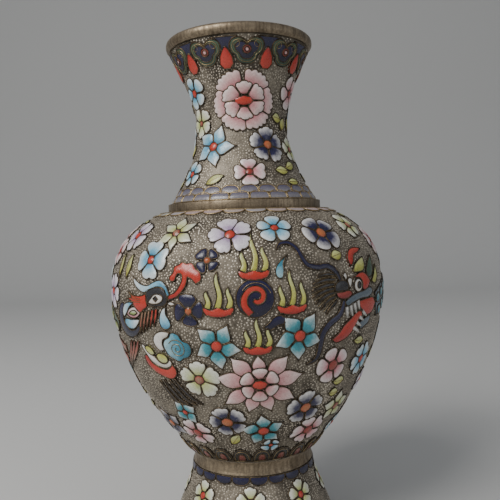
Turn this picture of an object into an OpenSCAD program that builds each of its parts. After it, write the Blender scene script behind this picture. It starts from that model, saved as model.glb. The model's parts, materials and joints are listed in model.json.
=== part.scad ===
// Cloisonne vase: a metal vase in stacked, soldered sections, with cells of wire and glass on its wall.
// Millimetres, +Z up. The origin is the centre of the face that the vase stands on, and its front faces -Y.
// A place on the wall is given as [azimuth, height]: degrees round from the front towards +X, and mm up.

/* [Belly] */
// Widest radius of the belly
body_r = 96.5; // [86:0.5:110]
// Height of the belly, from its lower joint to its shoulder joint
body_h = 169.5; // [150:0.5:190]
// Height of the widest ring above the belly's lower joint
belly_rise = 112; // [100:1:120]

/* [Neck] */
// Height of the neck between shoulder collar and mouth ring
neck_h = 108; // [90:1:125]
// Radius at the neck's narrowest place
throat_r = 32; // [28:0.5:36]
// Outer radius at the neck's lower end
neck_foot_r = 51.5; // [50:0.5:53]
// Outer radius at the neck's upper end
lip_r = 49.5; // [46:0.5:54]

/* [Foot] */
// Radius of the ring that the vase stands on
foot_r = 60; // [56:0.5:68]
// Height of the foot's enamelled wall
foot_h = 50; // [42:1:58]
// Radius of the waist, where the foot meets the belly
waist_r = 43; // [41:0.5:45]

/* [Brass rings] */
// Height of the mouth ring
mouth_ring_h = 7; // [5:0.5:10]
// Outer radius of the mouth ring
mouth_ring_r = 52.5; // [52:0.5:56]
// Height of the shoulder collar
shoulder_collar_h = 6; // [4:0.5:9]
// Outer radius of the shoulder collar
shoulder_collar_r = 55; // [53:0.5:57]
// Height of the waist collar
waist_collar_h = 10; // [7:0.5:13]
// Height of the foot ring
foot_ring_h = 8; // [6:0.5:11]

/* [Metal and joints] */
// Thickness of the spun walls
wall = 2; // [1.5:0.1:3]
// Radius of the spigot that joins the neck to the belly
neck_spigot_r = 46; // [44:0.5:47]
// Radius of the sleeve that joins belly, waist collar and foot
waist_sleeve_r = 38; // [35:0.5:39]
// How far a spigot or a sleeve reaches into its neighbour
spigot_reach = 6; // [4:0.5:8]
// Gap for solder between a spigot and its socket
solder_gap = 0.1; // [0.05:0.05:0.3]

/* [Enamel] */
// How far a cell stands out of the wall
cell_t = 0.8; // [0.5:0.1:1.2]
// Gap between neighbouring cells
cell_gap = 0.6; // [0.4:0.1:1]
// Lappets in the shoulder border
shoulder_lappet_count = 28; // [20:1:32]
// Lappets in the border above the waist
lower_lappet_count = 24; // [18:1:28]
// Scallops in the foot border
foot_scallop_count = 22; // [18:1:26]
// Scales in each row on the neck
neck_scale_count = 24; // [18:1:26]
// Ruyi heads under the mouth ring
ruyi_count = 10; // [6:1:10]

/* [Hidden] */

$fn = 96;
eps = 0.01;

// Heights of the joints between the stacked pieces
waist_z = foot_ring_h + foot_h;
belly_z = waist_z + waist_collar_h;
widest_z = belly_z + belly_rise;
shoulder_z = belly_z + body_h;
neck_z = shoulder_z + shoulder_collar_h;
lip_z = neck_z + neck_h;
vase_h = lip_z + mouth_ring_h;

// Where the neck is narrowest, as a share of its height
throat_z = neck_z + 0.49 * neck_h;
// The foot's wall is this much inside the foot ring
foot_wall_r = foot_r - 1.5;

// Belly curve: a superellipse above the widest ring and another below it, which runs into the waist
upper_power = 2.5;
lower_power = 1.7;
waist_blend = 8;
upper_reach = shoulder_z - widest_z + 8.5;
lower_reach = belly_rise + 18;

brass = [0.62, 0.50, 0.32];
gilt = [0.52, 0.47, 0.38];
navy = [0.10, 0.09, 0.30];
red = [0.72, 0.12, 0.08];
pink = [0.90, 0.68, 0.68];
sky = [0.66, 0.84, 0.92];
turquoise = [0.20, 0.56, 0.66];
cream = [0.88, 0.88, 0.66];
lilac = [0.80, 0.74, 0.82];
leaf = [0.66, 0.70, 0.32];
ivory = [0.90, 0.88, 0.82];
green = [0.30, 0.42, 0.28];
slate = [0.46, 0.46, 0.54];
black = [0.10, 0.10, 0.12];
maroon = [0.34, 0.12, 0.10];

// ---- The wall: its radius at a height, its lean, and solids of revolution that follow it ----

function superellipse(t, power) = pow(1 - pow(min(1, abs(t)), power), 1 / power);
function foot_wall(z) =
    waist_r + (foot_wall_r - waist_r) * (0.5 + 0.5 * cos(180 * (z - foot_ring_h) / foot_h));
function lower_belly(z) = body_r * superellipse((widest_z - z) / lower_reach, lower_power);
function upper_belly(z) = body_r * superellipse((z - widest_z) / upper_reach, upper_power);
function belly_wall(z) = z > widest_z ? upper_belly(z)
    : pow(pow(lower_belly(z), waist_blend) + pow(waist_r, waist_blend), 1 / waist_blend);
function flare(end_r, end_z) = sqrt(end_r * end_r - throat_r * throat_r) / abs(end_z - throat_z);
function neck_wall(z) =
    let (k = z < throat_z ? flare(neck_foot_r, neck_z) : flare(lip_r, lip_z))
    sqrt(throat_r * throat_r + pow(k * (z - throat_z), 2));
function wall_r(z) = z >= neck_z ? neck_wall(z) : z >= belly_z ? belly_wall(z) : foot_wall(z);

// Angle of the wall's outward normal above the horizontal
function lean(z) = -atan2(wall_r(z + 0.5) - wall_r(z - 0.5), 1);
// A point of the profile, moved out along the normal
function wall_pt(z, out) = [wall_r(z) + out * cos(lean(z)), z + out * sin(lean(z))];

// Heights at which the profile is drawn: even in the middle, closer where it turns fast
function stations(z0, z1, n) = [for (i = [0 : n]) z0 + (z1 - z0) * i / n];
foot_stations = stations(foot_ring_h + 0.5, waist_z - 0.5, 6);
belly_stations = concat(stations(belly_z + 0.6, widest_z, 9), stations(widest_z + 10, shoulder_z - 14, 4),
    [shoulder_z - 8, shoulder_z - 4, shoulder_z - 0.6]);
neck_stations = stations(neck_z + 0.6, lip_z - 0.6, 11);

// The wall between two depths, measured out from its outer face
module wall_band(at, inner, outer) rotate_extrude()
    polygon(concat([for (z = at) wall_pt(z, outer)],
        [for (i = [len(at) - 1 : -1 : 0]) wall_pt(at[i], inner)]));

// The same, run to flat ends
module spun_wall(at, z0, z1) {
    last = len(at) - 1;
    rotate_extrude() polygon(concat(
        [[wall_r(at[0]), z0]], [for (z = at) wall_pt(z, 0)], [[wall_r(at[last]), z1]],
        [[wall_r(at[last]) - wall, z1]], [for (i = [last : -1 : 0]) inner_pt(at[i], z0, z1)],
        [[wall_r(at[0]) - wall, z0]]));
}
function inner_pt(z, z0, z1) =
    let (p = wall_pt(z, -wall)) [p[0], max(z0 + 0.2, min(z1 - 0.2, p[1]))];

// A ring between two radii and two heights
module ring(r0, r1, z0, z1) rotate_extrude()
    translate([r0, z0]) square([r1 - r0, z1 - z0]);

// ---- Metal pieces ----

module mouth_ring() color(brass) rotate_extrude() {
    sleeve_r = wall_r(lip_z - spigot_reach) - wall / cos(lean(lip_z - spigot_reach)) - 0.6;
    bead = mouth_ring_h / 2;
    translate([sleeve_r - wall, lip_z - spigot_reach]) square([wall, spigot_reach + eps]);
    polygon([[sleeve_r - wall, lip_z], [mouth_ring_r - 2, lip_z], [mouth_ring_r - 0.4, lip_z + 1.6],
        [mouth_ring_r, lip_z + bead], [mouth_ring_r - 0.4, vase_h - 1.2], [mouth_ring_r - 1.6, vase_h],
        [sleeve_r - wall + 1, vase_h], [sleeve_r - wall, vase_h - 1]]);
}

module neck_shell() color(gilt) {
    spun_wall(neck_stations, neck_z, lip_z);
    ring(neck_spigot_r - wall, wall_r(neck_z + wall) - wall / 2, neck_z, neck_z + wall);
    ring(neck_spigot_r - wall, neck_spigot_r, shoulder_z - spigot_reach, neck_z + eps);
}

module shoulder_collar() color(brass)
    ring(neck_spigot_r + solder_gap, shoulder_collar_r, shoulder_z, neck_z);

module body_shell() color(gilt) {
    spun_wall(belly_stations, belly_z, shoulder_z);
    ring(neck_spigot_r + solder_gap, wall_r(shoulder_z - 0.6) - wall / 2, shoulder_z - wall, shoulder_z);
    ring(waist_sleeve_r + solder_gap, wall_r(belly_z + 0.6) - wall / 2, belly_z, belly_z + wall);
}

module floor_cup() color(gilt) {
    plate_z = belly_z + wall;
    translate([0, 0, plate_z]) cylinder(r = wall_r(plate_z) - wall - 1, h = wall);
    ring(waist_sleeve_r - wall, waist_sleeve_r, waist_z - wall - spigot_reach, plate_z + eps);
}

module waist_collar() color(brass) rotate_extrude() polygon([
    [waist_sleeve_r + solder_gap, waist_z], [waist_r + 0.8, waist_z], [waist_r, waist_z + 2],
    [waist_r, belly_z - 3], [waist_r + 1.6, belly_z], [waist_sleeve_r + solder_gap, belly_z]]);

module foot_shell() color(gilt) {
    spun_wall(foot_stations, foot_ring_h, waist_z);
    ring(waist_sleeve_r + solder_gap, waist_r - wall / 2, waist_z - wall, waist_z);
}

module foot_ring() color(brass) rotate_extrude() {
    top = foot_ring_h + spigot_reach;
    rim_r = wall_r(top) - wall / cos(lean(top)) - solder_gap - 0.2;
    polygon([[rim_r - wall, 0], [foot_r - 0.8, 0], [foot_r, 1], [foot_r, foot_ring_h - 2],
        [foot_r - 0.8, foot_ring_h], [rim_r, foot_ring_h], [rim_r, top], [rim_r - wall, top]]);
}

// ---- The pattern's own heights, which follow the wall when a section changes ----

// Lower and upper height of each section as the pattern is drawn, and as they are: foot, belly, neck
drawn = [[8, 58], [68, 237.5], [243.5, 351.5]];
real = [[foot_ring_h, waist_z], [belly_z, shoulder_z], [neck_z, lip_z]];
// Size of the motifs in each section, next to the drawn one
motif = [min(foot_h / 50, foot_r / 60, waist_r / 43), min(body_h / 169.5, body_r / 96.5),
    min(neck_h / 108, throat_r / 32, lip_r / 49.5, neck_foot_r / 51.5)];
function section(z) = z > drawn[2][0] ? 2 : z > drawn[1][0] ? 1 : 0;
function grow(z) = motif[section(z)];
function seat(z) = let (k = section(z), share = (z - drawn[k][0]) / (drawn[k][1] - drawn[k][0]))
    real[k][0] + (real[k][1] - real[k][0]) * share;

// ---- Cells: flat outlines laid on the wall, and cut to the layer of glass that follows it ----

module glass_on(at, hue) color(hue) intersection() {
    wall_band(at, 0, cell_t);
    union() children();
}
module foot_glass(hue) glass_on(foot_stations, hue) children();
module belly_glass(hue) glass_on(belly_stations, hue) children();
module neck_glass(hue) glass_on(neck_stations, hue) children();

cut_depth = 8;
// Children drawn in the plane that touches the wall at this place, X to the right and Y up the wall
module on_wall(az, z) rotate([0, 0, az]) translate([0, -wall_r(z), z]) rotate([90 - lean(z), 0, 0])
    translate([0, 0, -cut_depth]) linear_extrude(2 * cut_depth) children();
// The same at a place of the pattern, with the children in the pattern's size there
module on_pattern(az, z) on_wall(az, seat(z)) scale(grow(z)) children();

// A place on the wall, as seen in the plane that touches the wall at another place
function flat(p, at) = let (r = wall_r(p[1]), a = p[0] - at[0], t = lean(at[1]))
    [r * sin(a), (wall_r(at[1]) - r * cos(a)) * sin(t) + (p[1] - at[1]) * cos(t)];
function middle(pts) = [for (k = [0, 1]) (min([for (p = pts) p[k]]) + max([for (p = pts) p[k]])) / 2];
// Closed smooth curve through the points, with some more points on each stretch
function bend(a, b, c, d, t) = 0.5 * (2 * b + (c - a) * t + (2 * a - 5 * b + 4 * c - d) * t * t
    + (3 * b - a - 3 * c + d) * t * t * t);
function smooth(pts, extra) = let (n = len(pts)) [for (i = [0 : n - 1], k = [0 : extra])
    bend(pts[(i + n - 1) % n], pts[i], pts[(i + 1) % n], pts[(i + 2) % n], k / (extra + 1))];

// A cell with an outline given by places of the pattern
module cell(drawn_pts, extra = 1) {
    pts = [for (p = drawn_pts) [p[0], seat(p[1])]];
    at = middle(pts);
    on_wall(at[0], at[1]) polygon([for (p = smooth(pts, extra)) flat(p, at)]);
}

// A strip from one place of the pattern to another, with a sideways bow in mm and a width at each end
module strip(a, b, start_w, end_w, drawn_bow = 0, steps = 4) {
    at = [(a[0] + b[0]) / 2, (seat(a[1]) + seat(b[1])) / 2];
    p = flat([a[0], seat(a[1])], at);
    q = flat([b[0], seat(b[1])], at);
    w0 = start_w * grow(a[1]);
    w1 = end_w * grow(a[1]);
    bow = drawn_bow * grow(a[1]);
    along = (q - p) / norm(q - p);
    side = [-along[1], along[0]];
    line = [for (i = [0 : steps]) let (t = i / steps) p + (q - p) * t + side * bow * 4 * t * (1 - t)];
    half = [for (i = [0 : steps]) (w0 + (w1 - w0) * i / steps) / 2];
    on_wall(at[0], at[1]) polygon(concat([for (i = [0 : steps]) line[i] + side * half[i]],
        [for (i = [steps : -1 : 0]) line[i] - side * half[i]]));
}

module oval(az, z, w, h, turn = 0) on_pattern(az, z) rotate(turn)
    polygon([for (a = [0 : 40 : 320]) [w / 2 * cos(a), h / 2 * sin(a)]]);
module disc(az, z, r) on_pattern(az, z) circle(r = r);

// Outline of a petal that is broad near its tip, along X
function petal(l, w, full = 0.35) = [for (a = [0 : 45 : 315])
    [-l / 2 * cos(a), w / 2 * sin(a) * (1 - full * cos(a))]];
// Leaves: [azimuth, height, length, width, turn]
module leaves(list) for (b = list) on_pattern(b[0], b[1]) rotate(b[4]) polygon(petal(b[2], b[3], 0));
// Outline of a drop: round below, drawn to a point above
function drop(w, h) = [for (a = [0 : 40 : 320])
    [w / 2 * sin(a) * (1 - 0.45 * cos(a)) / 1.15, h / 2 * cos(a)]];

// One petal between two radii, round a place of the pattern
module ray(at, from_r, to_r, angle, w, full) {
    seat_z = seat(at[1]);
    mid = (from_r + to_r) / 2 * grow(at[1]);
    az = at[0] + mid * cos(angle) / wall_r(seat_z) * 180 / PI;
    z = seat_z + mid * sin(angle) * cos(lean(seat_z));
    on_wall(az, z) rotate(angle) scale(grow(at[1])) polygon(petal(to_r - from_r, w, full));
}
// A ring of petals round a heart
module petals(at, from_r, to_r, n, turn, full = 0.35)
    for (k = [0 : n - 1])
        ray(at, from_r + cell_gap, to_r, 90 + turn + 360 * k / n,
            0.88 * (from_r + to_r) * tan(min(40, 180 / n)) - cell_gap, full);

// ---- Blossoms: [azimuth, height, outer radius, heart radius, petals, turn, family] ----

SKY = 0; CREAM = 1; LILAC = 2; NAVY = 3; PINK = 4; TURQUOISE = 5;

neck_blossoms = [
    [-60, 320, 11, 2.6, 5, 12, SKY], [-34, 281, 13, 3, 5, 40, SKY], [-57, 299, 10, 2, 5, 30, CREAM],
    [30, 281, 12, 3, 5, 0, NAVY], [6, 262, 10, 2.4, 4, 0, PINK], [-57, 263, 9, 2.2, 5, 20, LILAC],
    [70, 319, 11, 2.6, 5, 30, PINK], [68, 279, 9, 2.2, 5, 10, CREAM],
    [105, 304, 12, 2.8, 5, 20, SKY], [100, 274, 11, 2.6, 5, 0, LILAC], [130, 322, 9, 2.2, 5, 35, CREAM],
    [140, 283, 12, 3, 5, 8, PINK], [180, 278, 12, 3, 5, 0, NAVY], [222, 281, 12, 2.8, 5, 15, SKY],
    [236, 318, 11, 2.6, 5, 0, PINK], [262, 290, 11, 2.6, 5, 30, LILAC], [262, 262, 10, 2.4, 5, 5, CREAM],
    [155, 263, 9, 2.2, 5, 15, SKY], [208, 262.5, 8, 2.2, 5, 30, PINK]];
peonies = [[4, 311], [180, 312]];
peony_heart_w = 12;
peony_heart_h = 6;

body_blossoms = [
    // the front
    [-58, 222, 12, 2.8, 5, 20, LILAC], [-31, 223, 12, 2.6, 6, 0, CREAM], [-6, 221, 13, 3, 5, 15, LILAC],
    [13, 224, 11, 2.4, 5, 0, SKY], [34, 220, 13, 3.4, 5, 25, NAVY], [57, 224, 11, 2.6, 5, 10, CREAM],
    [-39, 207, 12, 2.6, 4, 0, SKY], [-14, 206.5, 7, 2, 4, 45, NAVY], [-21, 177, 9, 2.2, 4, 0, NAVY],
    [-11.5, 156, 12.4, 3.2, 5, 34, TURQUOISE], [19, 160, 13, 3.4, 5, 28, TURQUOISE],
    [-20.5, 134, 12.5, 3, 5, 0, CREAM],
    [-12, 104, 12, 3.6, 5, 18, NAVY], [6.5, 96.5, 11.5, 3.4, 5, 0, TURQUOISE],
    [27, 111, 12.5, 3.6, 5, 10, NAVY],
    [36, 138, 12, 3.6, 5, 20, PINK], [-33, 93, 11.6, 3.4, 5, 24, PINK], [35, 92, 12, 3.6, 5, 12, PINK],
    [-34, 109, 7.4, 2, 4, 45, TURQUOISE], [49.5, 106, 10.5, 2.8, 5, 0, CREAM], [56, 137, 11, 2.8, 5, 30, SKY],
    [-53, 96, 11, 3, 5, 15, NAVY], [12, 84, 5.6, 1.6, 4, 45, SKY],
    [-71, 212, 10, 2.4, 5, 0, PINK], [74, 214, 11, 2.6, 5, 20, PINK],
    // the sides and the back
    [83, 95, 11, 3, 5, 0, PINK], [66, 88, 8, 2.2, 5, 20, SKY], [92, 224, 12, 2.8, 5, 10, SKY],
    [115, 222, 12, 2.8, 5, 0, CREAM], [138, 223, 12, 2.8, 5, 25, PINK], [160, 221, 12, 2.8, 5, 0, LILAC],
    [183, 223, 12, 2.8, 5, 15, SKY], [206, 221, 12, 2.8, 5, 0, NAVY], [230, 223, 12, 2.8, 5, 30, CREAM],
    [254, 222, 12, 2.8, 5, 10, SKY], [277, 222, 12, 2.8, 5, 0, PINK],
    [100, 118, 12, 3, 5, 12, TURQUOISE], [122, 102, 12, 3, 5, 0, NAVY], [146, 96, 12, 3, 5, 22, CREAM],
    [170, 98, 12, 3, 5, 0, PINK], [196, 95, 12, 3, 5, 18, SKY], [222, 98, 12, 3, 5, 0, NAVY],
    [246, 95, 12, 3, 5, 26, PINK], [272, 98, 12, 3, 5, 0, TURQUOISE],
    [158, 150, 13, 3.2, 5, 0, NAVY], [206, 152, 13, 3.2, 5, 14, TURQUOISE], [160, 186, 13, 3.2, 5, 30, CREAM],
    [204, 190, 13, 3.2, 5, 0, PINK], [135, 128, 12, 3, 5, 8, LILAC], [228, 126, 12, 3, 5, 20, CREAM]];
lotuses = [[4, 131], [182, 125]];
foot_blossom_count = 8;

module family(list, kind) for (b = list) if (b[6] == kind)
    petals([b[0], b[1]], b[3], b[2], b[4], b[5]);
module hearts(list) for (b = list) disc(b[0], b[1], b[3]);

module neck_sky_petals() neck_glass(sky) family(neck_blossoms, SKY);
module neck_cream_petals() neck_glass(cream) family(neck_blossoms, CREAM);
module neck_navy_petals() neck_glass(navy) {
    family(neck_blossoms, NAVY);
    family(neck_blossoms, LILAC);
}
module neck_pink_petals() neck_glass(pink) family(neck_blossoms, PINK);
module neck_blossom_hearts() neck_glass(red) {
    hearts(neck_blossoms);
    for (p = peonies) oval(p[0], p[1], peony_heart_w, peony_heart_h);
}
// Each peony has a ring of small petals and a ring of broad ones
module neck_peony_petals() neck_glass(pink) for (p = peonies) {
    for (k = [0 : 5]) let (a = 60 * k + 30, side = abs(cos(a)))
        ray(p, 5 + side * 2, 12 + side * 1.5, a, 7.4, 0.3);
    for (k = [0 : 5]) ray(p, 13.6, 20.4, 60 * k + 2, 15, 0.05);
}
module neck_leaves() neck_glass(leaf) leaves([[-26, 258, 13, 6, 20], [40, 263, 11, 6, -4],
    [54, 267, 11, 6, 10], [49, 255, 11, 5, 0], [48, 301, 8, 6, 0], [60, 297, 9, 6, 70],
    [120, 258, 12, 6, 15], [186, 259, 12, 6, -10],
    [78, 298, 9, 4, 85], [242, 302, 10, 5, 60], [282, 281, 10, 6, 80]]);

// A row of arched cells right round the wall, each as wide as its share of the girth
module border(count, first, z, h, upward) {
    pitch = 360 / count;
    w = wall_r(z) * 2 * sin(pitch / 2) - cell_gap;
    for (k = [0 : count - 1]) on_wall(first + pitch * k, z) mirror([0, upward ? 0 : 1])
        polygon([for (a = [0 : 45 : 180]) [-w / 2 * cos(a), -h / 2 + h * sin(a)]]);
}
module neck_scales() neck_glass(slate) for (row = [0, 1])
    border(neck_scale_count, -3 + 180 / neck_scale_count * row, neck_z + (2.8 + 4.2 * row) * motif[2],
        4 * motif[2], true);

module body_sky_petals() belly_glass(sky) family(body_blossoms, SKY);
module body_cream_petals() belly_glass(cream) family(body_blossoms, CREAM);
module body_lilac_petals() belly_glass(lilac) family(body_blossoms, LILAC);
module body_navy_petals() belly_glass(navy) family(body_blossoms, NAVY);
module body_pink_petals() belly_glass(pink) family(body_blossoms, PINK);
module body_turquoise_petals() belly_glass(turquoise) family(body_blossoms, TURQUOISE);
module body_blossom_hearts() belly_glass(red) {
    hearts(body_blossoms);
    for (p = lotuses) oval(p[0], p[1], 9, 6);
}
// Each lotus has a ring of small petals and a ring of long pointed ones
module lotus_petals() belly_glass(pink) for (p = lotuses) {
    for (k = [0 : 5]) ray(p, 5.4, 11, 60 * k + 30, 6.4, 0.2);
    for (k = [0 : 8]) let (a = 90 + 40 * k)
        ray(p, 12, 18 + 7 * abs(cos(a)), a, 9.6, 0.25);
}
module body_leaves() belly_glass(leaf) leaves([[-53, 203, 16, 5, 84], [-10, 90, 12, 6, 50],
    [43, 126, 10, 6, -10], [42, 118, 8, 6, 10], [37, 206, 9, 6, 30], [-60, 203, 16, 4, 84],
    [50, 151, 11, 5, -10], [108, 206, 12, 6, 20],
    [148, 206, 12, 6, 160], [172, 208, 12, 6, 30], [194, 207, 12, 6, 150], [218, 206, 12, 6, 20],
    [112, 90, 11, 5, 60], [158, 84, 10, 5, 0], [210, 86, 11, 5, 120], [260, 86, 10, 5, 0],
    [146, 168, 12, 6, 80], [184, 160, 12, 6, 90], [219, 172, 12, 6, 100], [182, 175, 12, 6, 80]]);

module shoulder_lappets() belly_glass(lilac)
    border(shoulder_lappet_count, 7, shoulder_z - 1.6 * motif[1], 6 * motif[1], false);
module lower_lappets() belly_glass(maroon)
    border(lower_lappet_count, -8, belly_z + 4.5 * motif[1], 7 * motif[1], true);
module foot_scallops() foot_glass(navy)
    border(foot_scallop_count, 5, waist_z - 2.4 * motif[0], 2.6 * motif[0], false);

foot_blossoms = [for (k = [0 : foot_blossom_count - 1]) [-3 + 360 / foot_blossom_count * k, 41]];
foot_heart_r = 2.6;
module foot_blossom_petals() foot_glass(ivory) for (at = foot_blossoms) petals(at, foot_heart_r, 10, 5, 0);
module foot_blossom_hearts() foot_glass(red) for (at = foot_blossoms) disc(at[0], at[1], foot_heart_r);

// ---- The band under the mouth ring ----

module ruyi_cells(hue) neck_glass(hue) for (k = [0 : ruyi_count - 1])
    on_wall(7 + 360 / ruyi_count * k, lip_z - 9 * motif[2]) scale(motif[2]) children();
// A ruyi head: two lobes above and one below, of a size and with a hole of a size
module ruyi_shape(s) {
    translate([-3.6 * s, 2.2 * s]) circle(r = 5.4 * s);
    translate([3.6 * s, 2.2 * s]) circle(r = 5.4 * s);
    translate([0, -2.6 * s]) circle(r = 5.6 * s);
}
module ruyi_clouds() ruyi_cells(green) difference() {
    ruyi_shape(1);
    ruyi_shape(0.66);
}
module ruyi_hearts() ruyi_cells(navy) difference() {
    ruyi_shape(0.6);
    circle(r = 2.6);
}
module ruyi_pearls() ruyi_cells(pink) circle(r = 2.2);
between_heads = [for (k = [0 : ruyi_count - 1]) 7 + 360 / ruyi_count * (k + 0.5)];
module ruyi_ground() neck_glass(navy) for (az = between_heads) let (top = drawn[2][1])
    cell([[az - 7, top - 1.4], [az, top - 1.2], [az + 7, top - 1.4], [az + 2.4, top - 5], [az, top - 6.2],
        [az - 2.4, top - 5]], 0);
module red_drops() neck_glass(red) for (az = between_heads)
    on_wall(az, lip_z - 13.8 * motif[2]) scale(motif[2]) polygon(drop(7.6, 14));

// ---- The flaming pearl ----

pearl = [3, 184];
pearl_r = 10.8;
module pearl_outline() circle(r = pearl_r);
// The comma that winds through the pearl
module comma(grow) {
    translate([-pearl_r / 2.4, -1]) circle(r = pearl_r / 2.1 + grow);
    translate([1.5, 1.5]) circle(r = pearl_r / 3.2 + grow);
}
module pearl_disc() belly_glass(navy) on_pattern(pearl[0], pearl[1]) difference() {
    pearl_outline();
    comma(cell_gap / 2);
}
module pearl_swirl() belly_glass(red) on_pattern(pearl[0], pearl[1]) intersection() {
    pearl_outline();
    comma(0);
}
// [azimuth, height of the base, heights of the three tongues]
flames = [[2.9, 198, 9, 20, 12], [-10, 177, 8, 19, 10], [16, 177, 10, 19, 12], [3.5, 153.5, 8, 15, 9]];
tongue_step = 3.9;
module flame_bases() belly_glass(red) for (f = flames)
    cell([[f[0] - 5.4, f[1] + 2.4], [f[0] - 2.6, f[1] + 0.4], [f[0], f[1] + 2.2], [f[0] + 2.6, f[1] + 0.4],
        [f[0] + 5.4, f[1] + 2.4], [f[0] + 4.4, f[1] - 2.2], [f[0], f[1] - 3], [f[0] - 4.4, f[1] - 2.2]], 1);
module flame_tongues() belly_glass(leaf) for (f = flames, k = [0 : 2]) let (az = f[0] + tongue_step * (k - 1))
    strip([az, f[1] + 3.6], [az + 0.6, f[1] + 3.6 + f[2 + k]], 2.4, 0.9, 0.8);

// ---- Fungus, clouds, drops ----

module red_fungus() belly_glass(red) {
    cell([[-28, 194], [-27.4, 199], [-25.5, 204], [-23, 206], [-20.5, 205], [-18.5, 201], [-16.8, 197],
        [-17.4, 193], [-19.4, 194.5], [-20.2, 198.5], [-23, 200.5], [-25.6, 198.5], [-26.4, 195]], 0);
    cell([[-23.6, 199.6], [-21.4, 199.6], [-21.4, 194], [-23.4, 188], [-27.4, 183.6], [-29, 185],
        [-25.6, 189], [-24, 194]], 0);
}
module cloud_crests() belly_glass(ivory) {
    cell([[-38.4, 160], [-36.6, 163.6], [-33, 164.6], [-30.6, 162], [-32, 159], [-34.6, 156.6], [-35, 152.4],
        [-37.4, 155]]);
    cell([[-60.5, 118], [-57.5, 126], [-53.5, 129], [-52.4, 125.5], [-55.4, 119]]);
    for (az = [128, 236]) oval(az - 4, 197, 10, 8);
}
module cloud_curls() belly_glass(turquoise) {
    cell([[-28.8, 162], [-26, 161.6], [-23, 158], [-21.8, 153], [-24.4, 149], [-28, 146], [-31, 149],
        [-32.8, 152.4], [-31.6, 157]]);
    cell([[-49, 127], [-44, 125], [-40, 121], [-41, 115], [-47, 112], [-51, 115], [-52, 121]]);
    for (az = [128, 236]) oval(az + 5, 194, 15, 12);
}
module teal_drops() belly_glass(turquoise) {
    strip([11, 195], [12.6, 206], 3.6, 1.6, -0.6);
    cell([[5.6, 168.4], [7.6, 167], [9, 169], [12.6, 168], [13, 171], [10, 172.6], [7.4, 170.6]]);
}

// ---- The phoenix: head on the left of the front, plumes round the side ----

module phoenix_crest() belly_glass(sky) {
    cell([[-48.4, 196.6], [-46.6, 192], [-43, 189], [-40.2, 188.6], [-40.4, 190.8], [-43.6, 192.2]]);
    cell([[-39.4, 188.8], [-38.6, 191.6], [-35.6, 194.2], [-32, 193.8], [-29.6, 190.8], [-29, 187],
        [-30.6, 189.6], [-33.6, 191.6], [-36.8, 190.4]]);
    strip([-32.6, 177.6], [-31.4, 167.4], 2.6, 4.6, 0.8);
    strip([-29.4, 181.2], [-26.4, 181.6], 1.8, 1, 0);
}
module phoenix_face() belly_glass(red)
    cell([[-52, 186.4], [-46, 185.4], [-40.4, 186.6], [-40, 182.6], [-40.8, 178.6], [-43.4, 175.2],
        [-44.4, 178], [-47, 180.6], [-50.4, 183]]);
module phoenix_eye() belly_glass(ivory) {
    difference() {
        cell([[-39, 182.2], [-37, 185.6], [-34, 187.4], [-31, 185], [-32, 181.6], [-35.4, 180.4]]);
        oval(-34.6, 184, 4, 4);
    }
    oval(-34.6, 184, 3, 3);
}
module phoenix_beak() belly_glass(sky) {
    cell([[-58.6, 179], [-54, 180.6], [-50.4, 180.4], [-53.4, 177], [-54.8, 173], [-56.8, 169.6],
        [-58.4, 173]]);
    cell([[-53.4, 168.6], [-49, 169], [-45.4, 169.8], [-46.4, 166], [-50, 162.8], [-53, 164.4]]);
    cell([[-52.6, 173.6], [-50, 176.4], [-45.6, 177.4], [-43.8, 174.6], [-46.4, 171.6], [-50.6, 171.2]]);
}
module phoenix_beard() belly_glass(maroon) for (k = [0 : 4])
    strip([-35 - 2 * k, 176.4 - 0.8 * k], [-37 - 2.4 * k, 169 - 1.8 * k], 2, 0.8, 0.3);
module phoenix_scales() belly_glass(leaf) {
    oval(-42, 151, 8, 6, -30);
    oval(-36, 147, 9, 6.4, -30);
    for (k = [0 : 11]) oval(-69 - 6 * k, 162 + 10 * sin(40 * k), 8, 6.4, -20);
}
module phoenix_plumes() belly_glass(red) {
    cell([[-46.4, 147.6], [-42, 143.6], [-38, 139.8], [-34.4, 139.6], [-31, 142.6], [-30.8, 137],
        [-34, 133.4], [-39, 135], [-43.6, 139.6]]);
    for (k = [0 : 2]) strip([-51 - 3 * k, 156 - k], [-58 - 4 * k, 139 - 3 * k], 2.6, 1.4, 1);
    for (k = [0 : 4], j = [0 : 3]) let (a = -66 - 15 * j, z = 146 - 8 * k)
        strip([a, z + 4 * sin(60 * j)], [a - 13, z + 4 * sin(60 * j + 60)], 5 - j * 0.6, 4.4 - j * 0.8, 0.8);
}
module dark_plumes() belly_glass(black) for (k = [0 : 2]) {
    strip([-33.4 - 3.2 * k, 132.6 - 1.4 * k], [-30.6 - 3.4 * k, 124 - 1.6 * k], 2, 1.8, -0.5);
    strip([-30.2 - 3.4 * k, 123 - 1.6 * k], [-24.6 - 3.6 * k, 117 - 1.2 * k], 1.8, 1, -0.5);
}

// ---- The dragon: head on the right of the front, scaled body round the side ----

module dragon_whiskers() belly_glass(navy) {
    strip([12.4, 214.4], [18.6, 211.4], 2, 3, 1.4);
    strip([19.2, 210], [21.6, 203.4], 3, 3.2, -0.8);
    strip([22.4, 202], [29.4, 199.6], 3.2, 4.4, -1.2);
    strip([30.4, 199.4], [36.6, 191.4], 4.4, 3, 1.6);
    strip([37.4, 178], [34.6, 168.6], 3, 4, 1.4);
    strip([33.6, 167.6], [28.8, 160], 4, 4.4, -1);
    strip([28.4, 158.6], [27, 146], 4.2, 3.4, -0.8);
    strip([26.2, 144.8], [22.6, 141.8], 3, 1.2, 0.8);
    for (k = [0 : 2]) strip([24.4 + k, 192 - 3.6 * k], [33.4, 191 - 2.4 * k], 1, 1.6, 0.8);
    for (k = [0 : 2]) strip([26.6 + 1.6 * k, 179.6 - 2 * k], [32.4 + 0.6 * k, 184 - 2.4 * k], 1, 1.6, 0.6);
}
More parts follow.
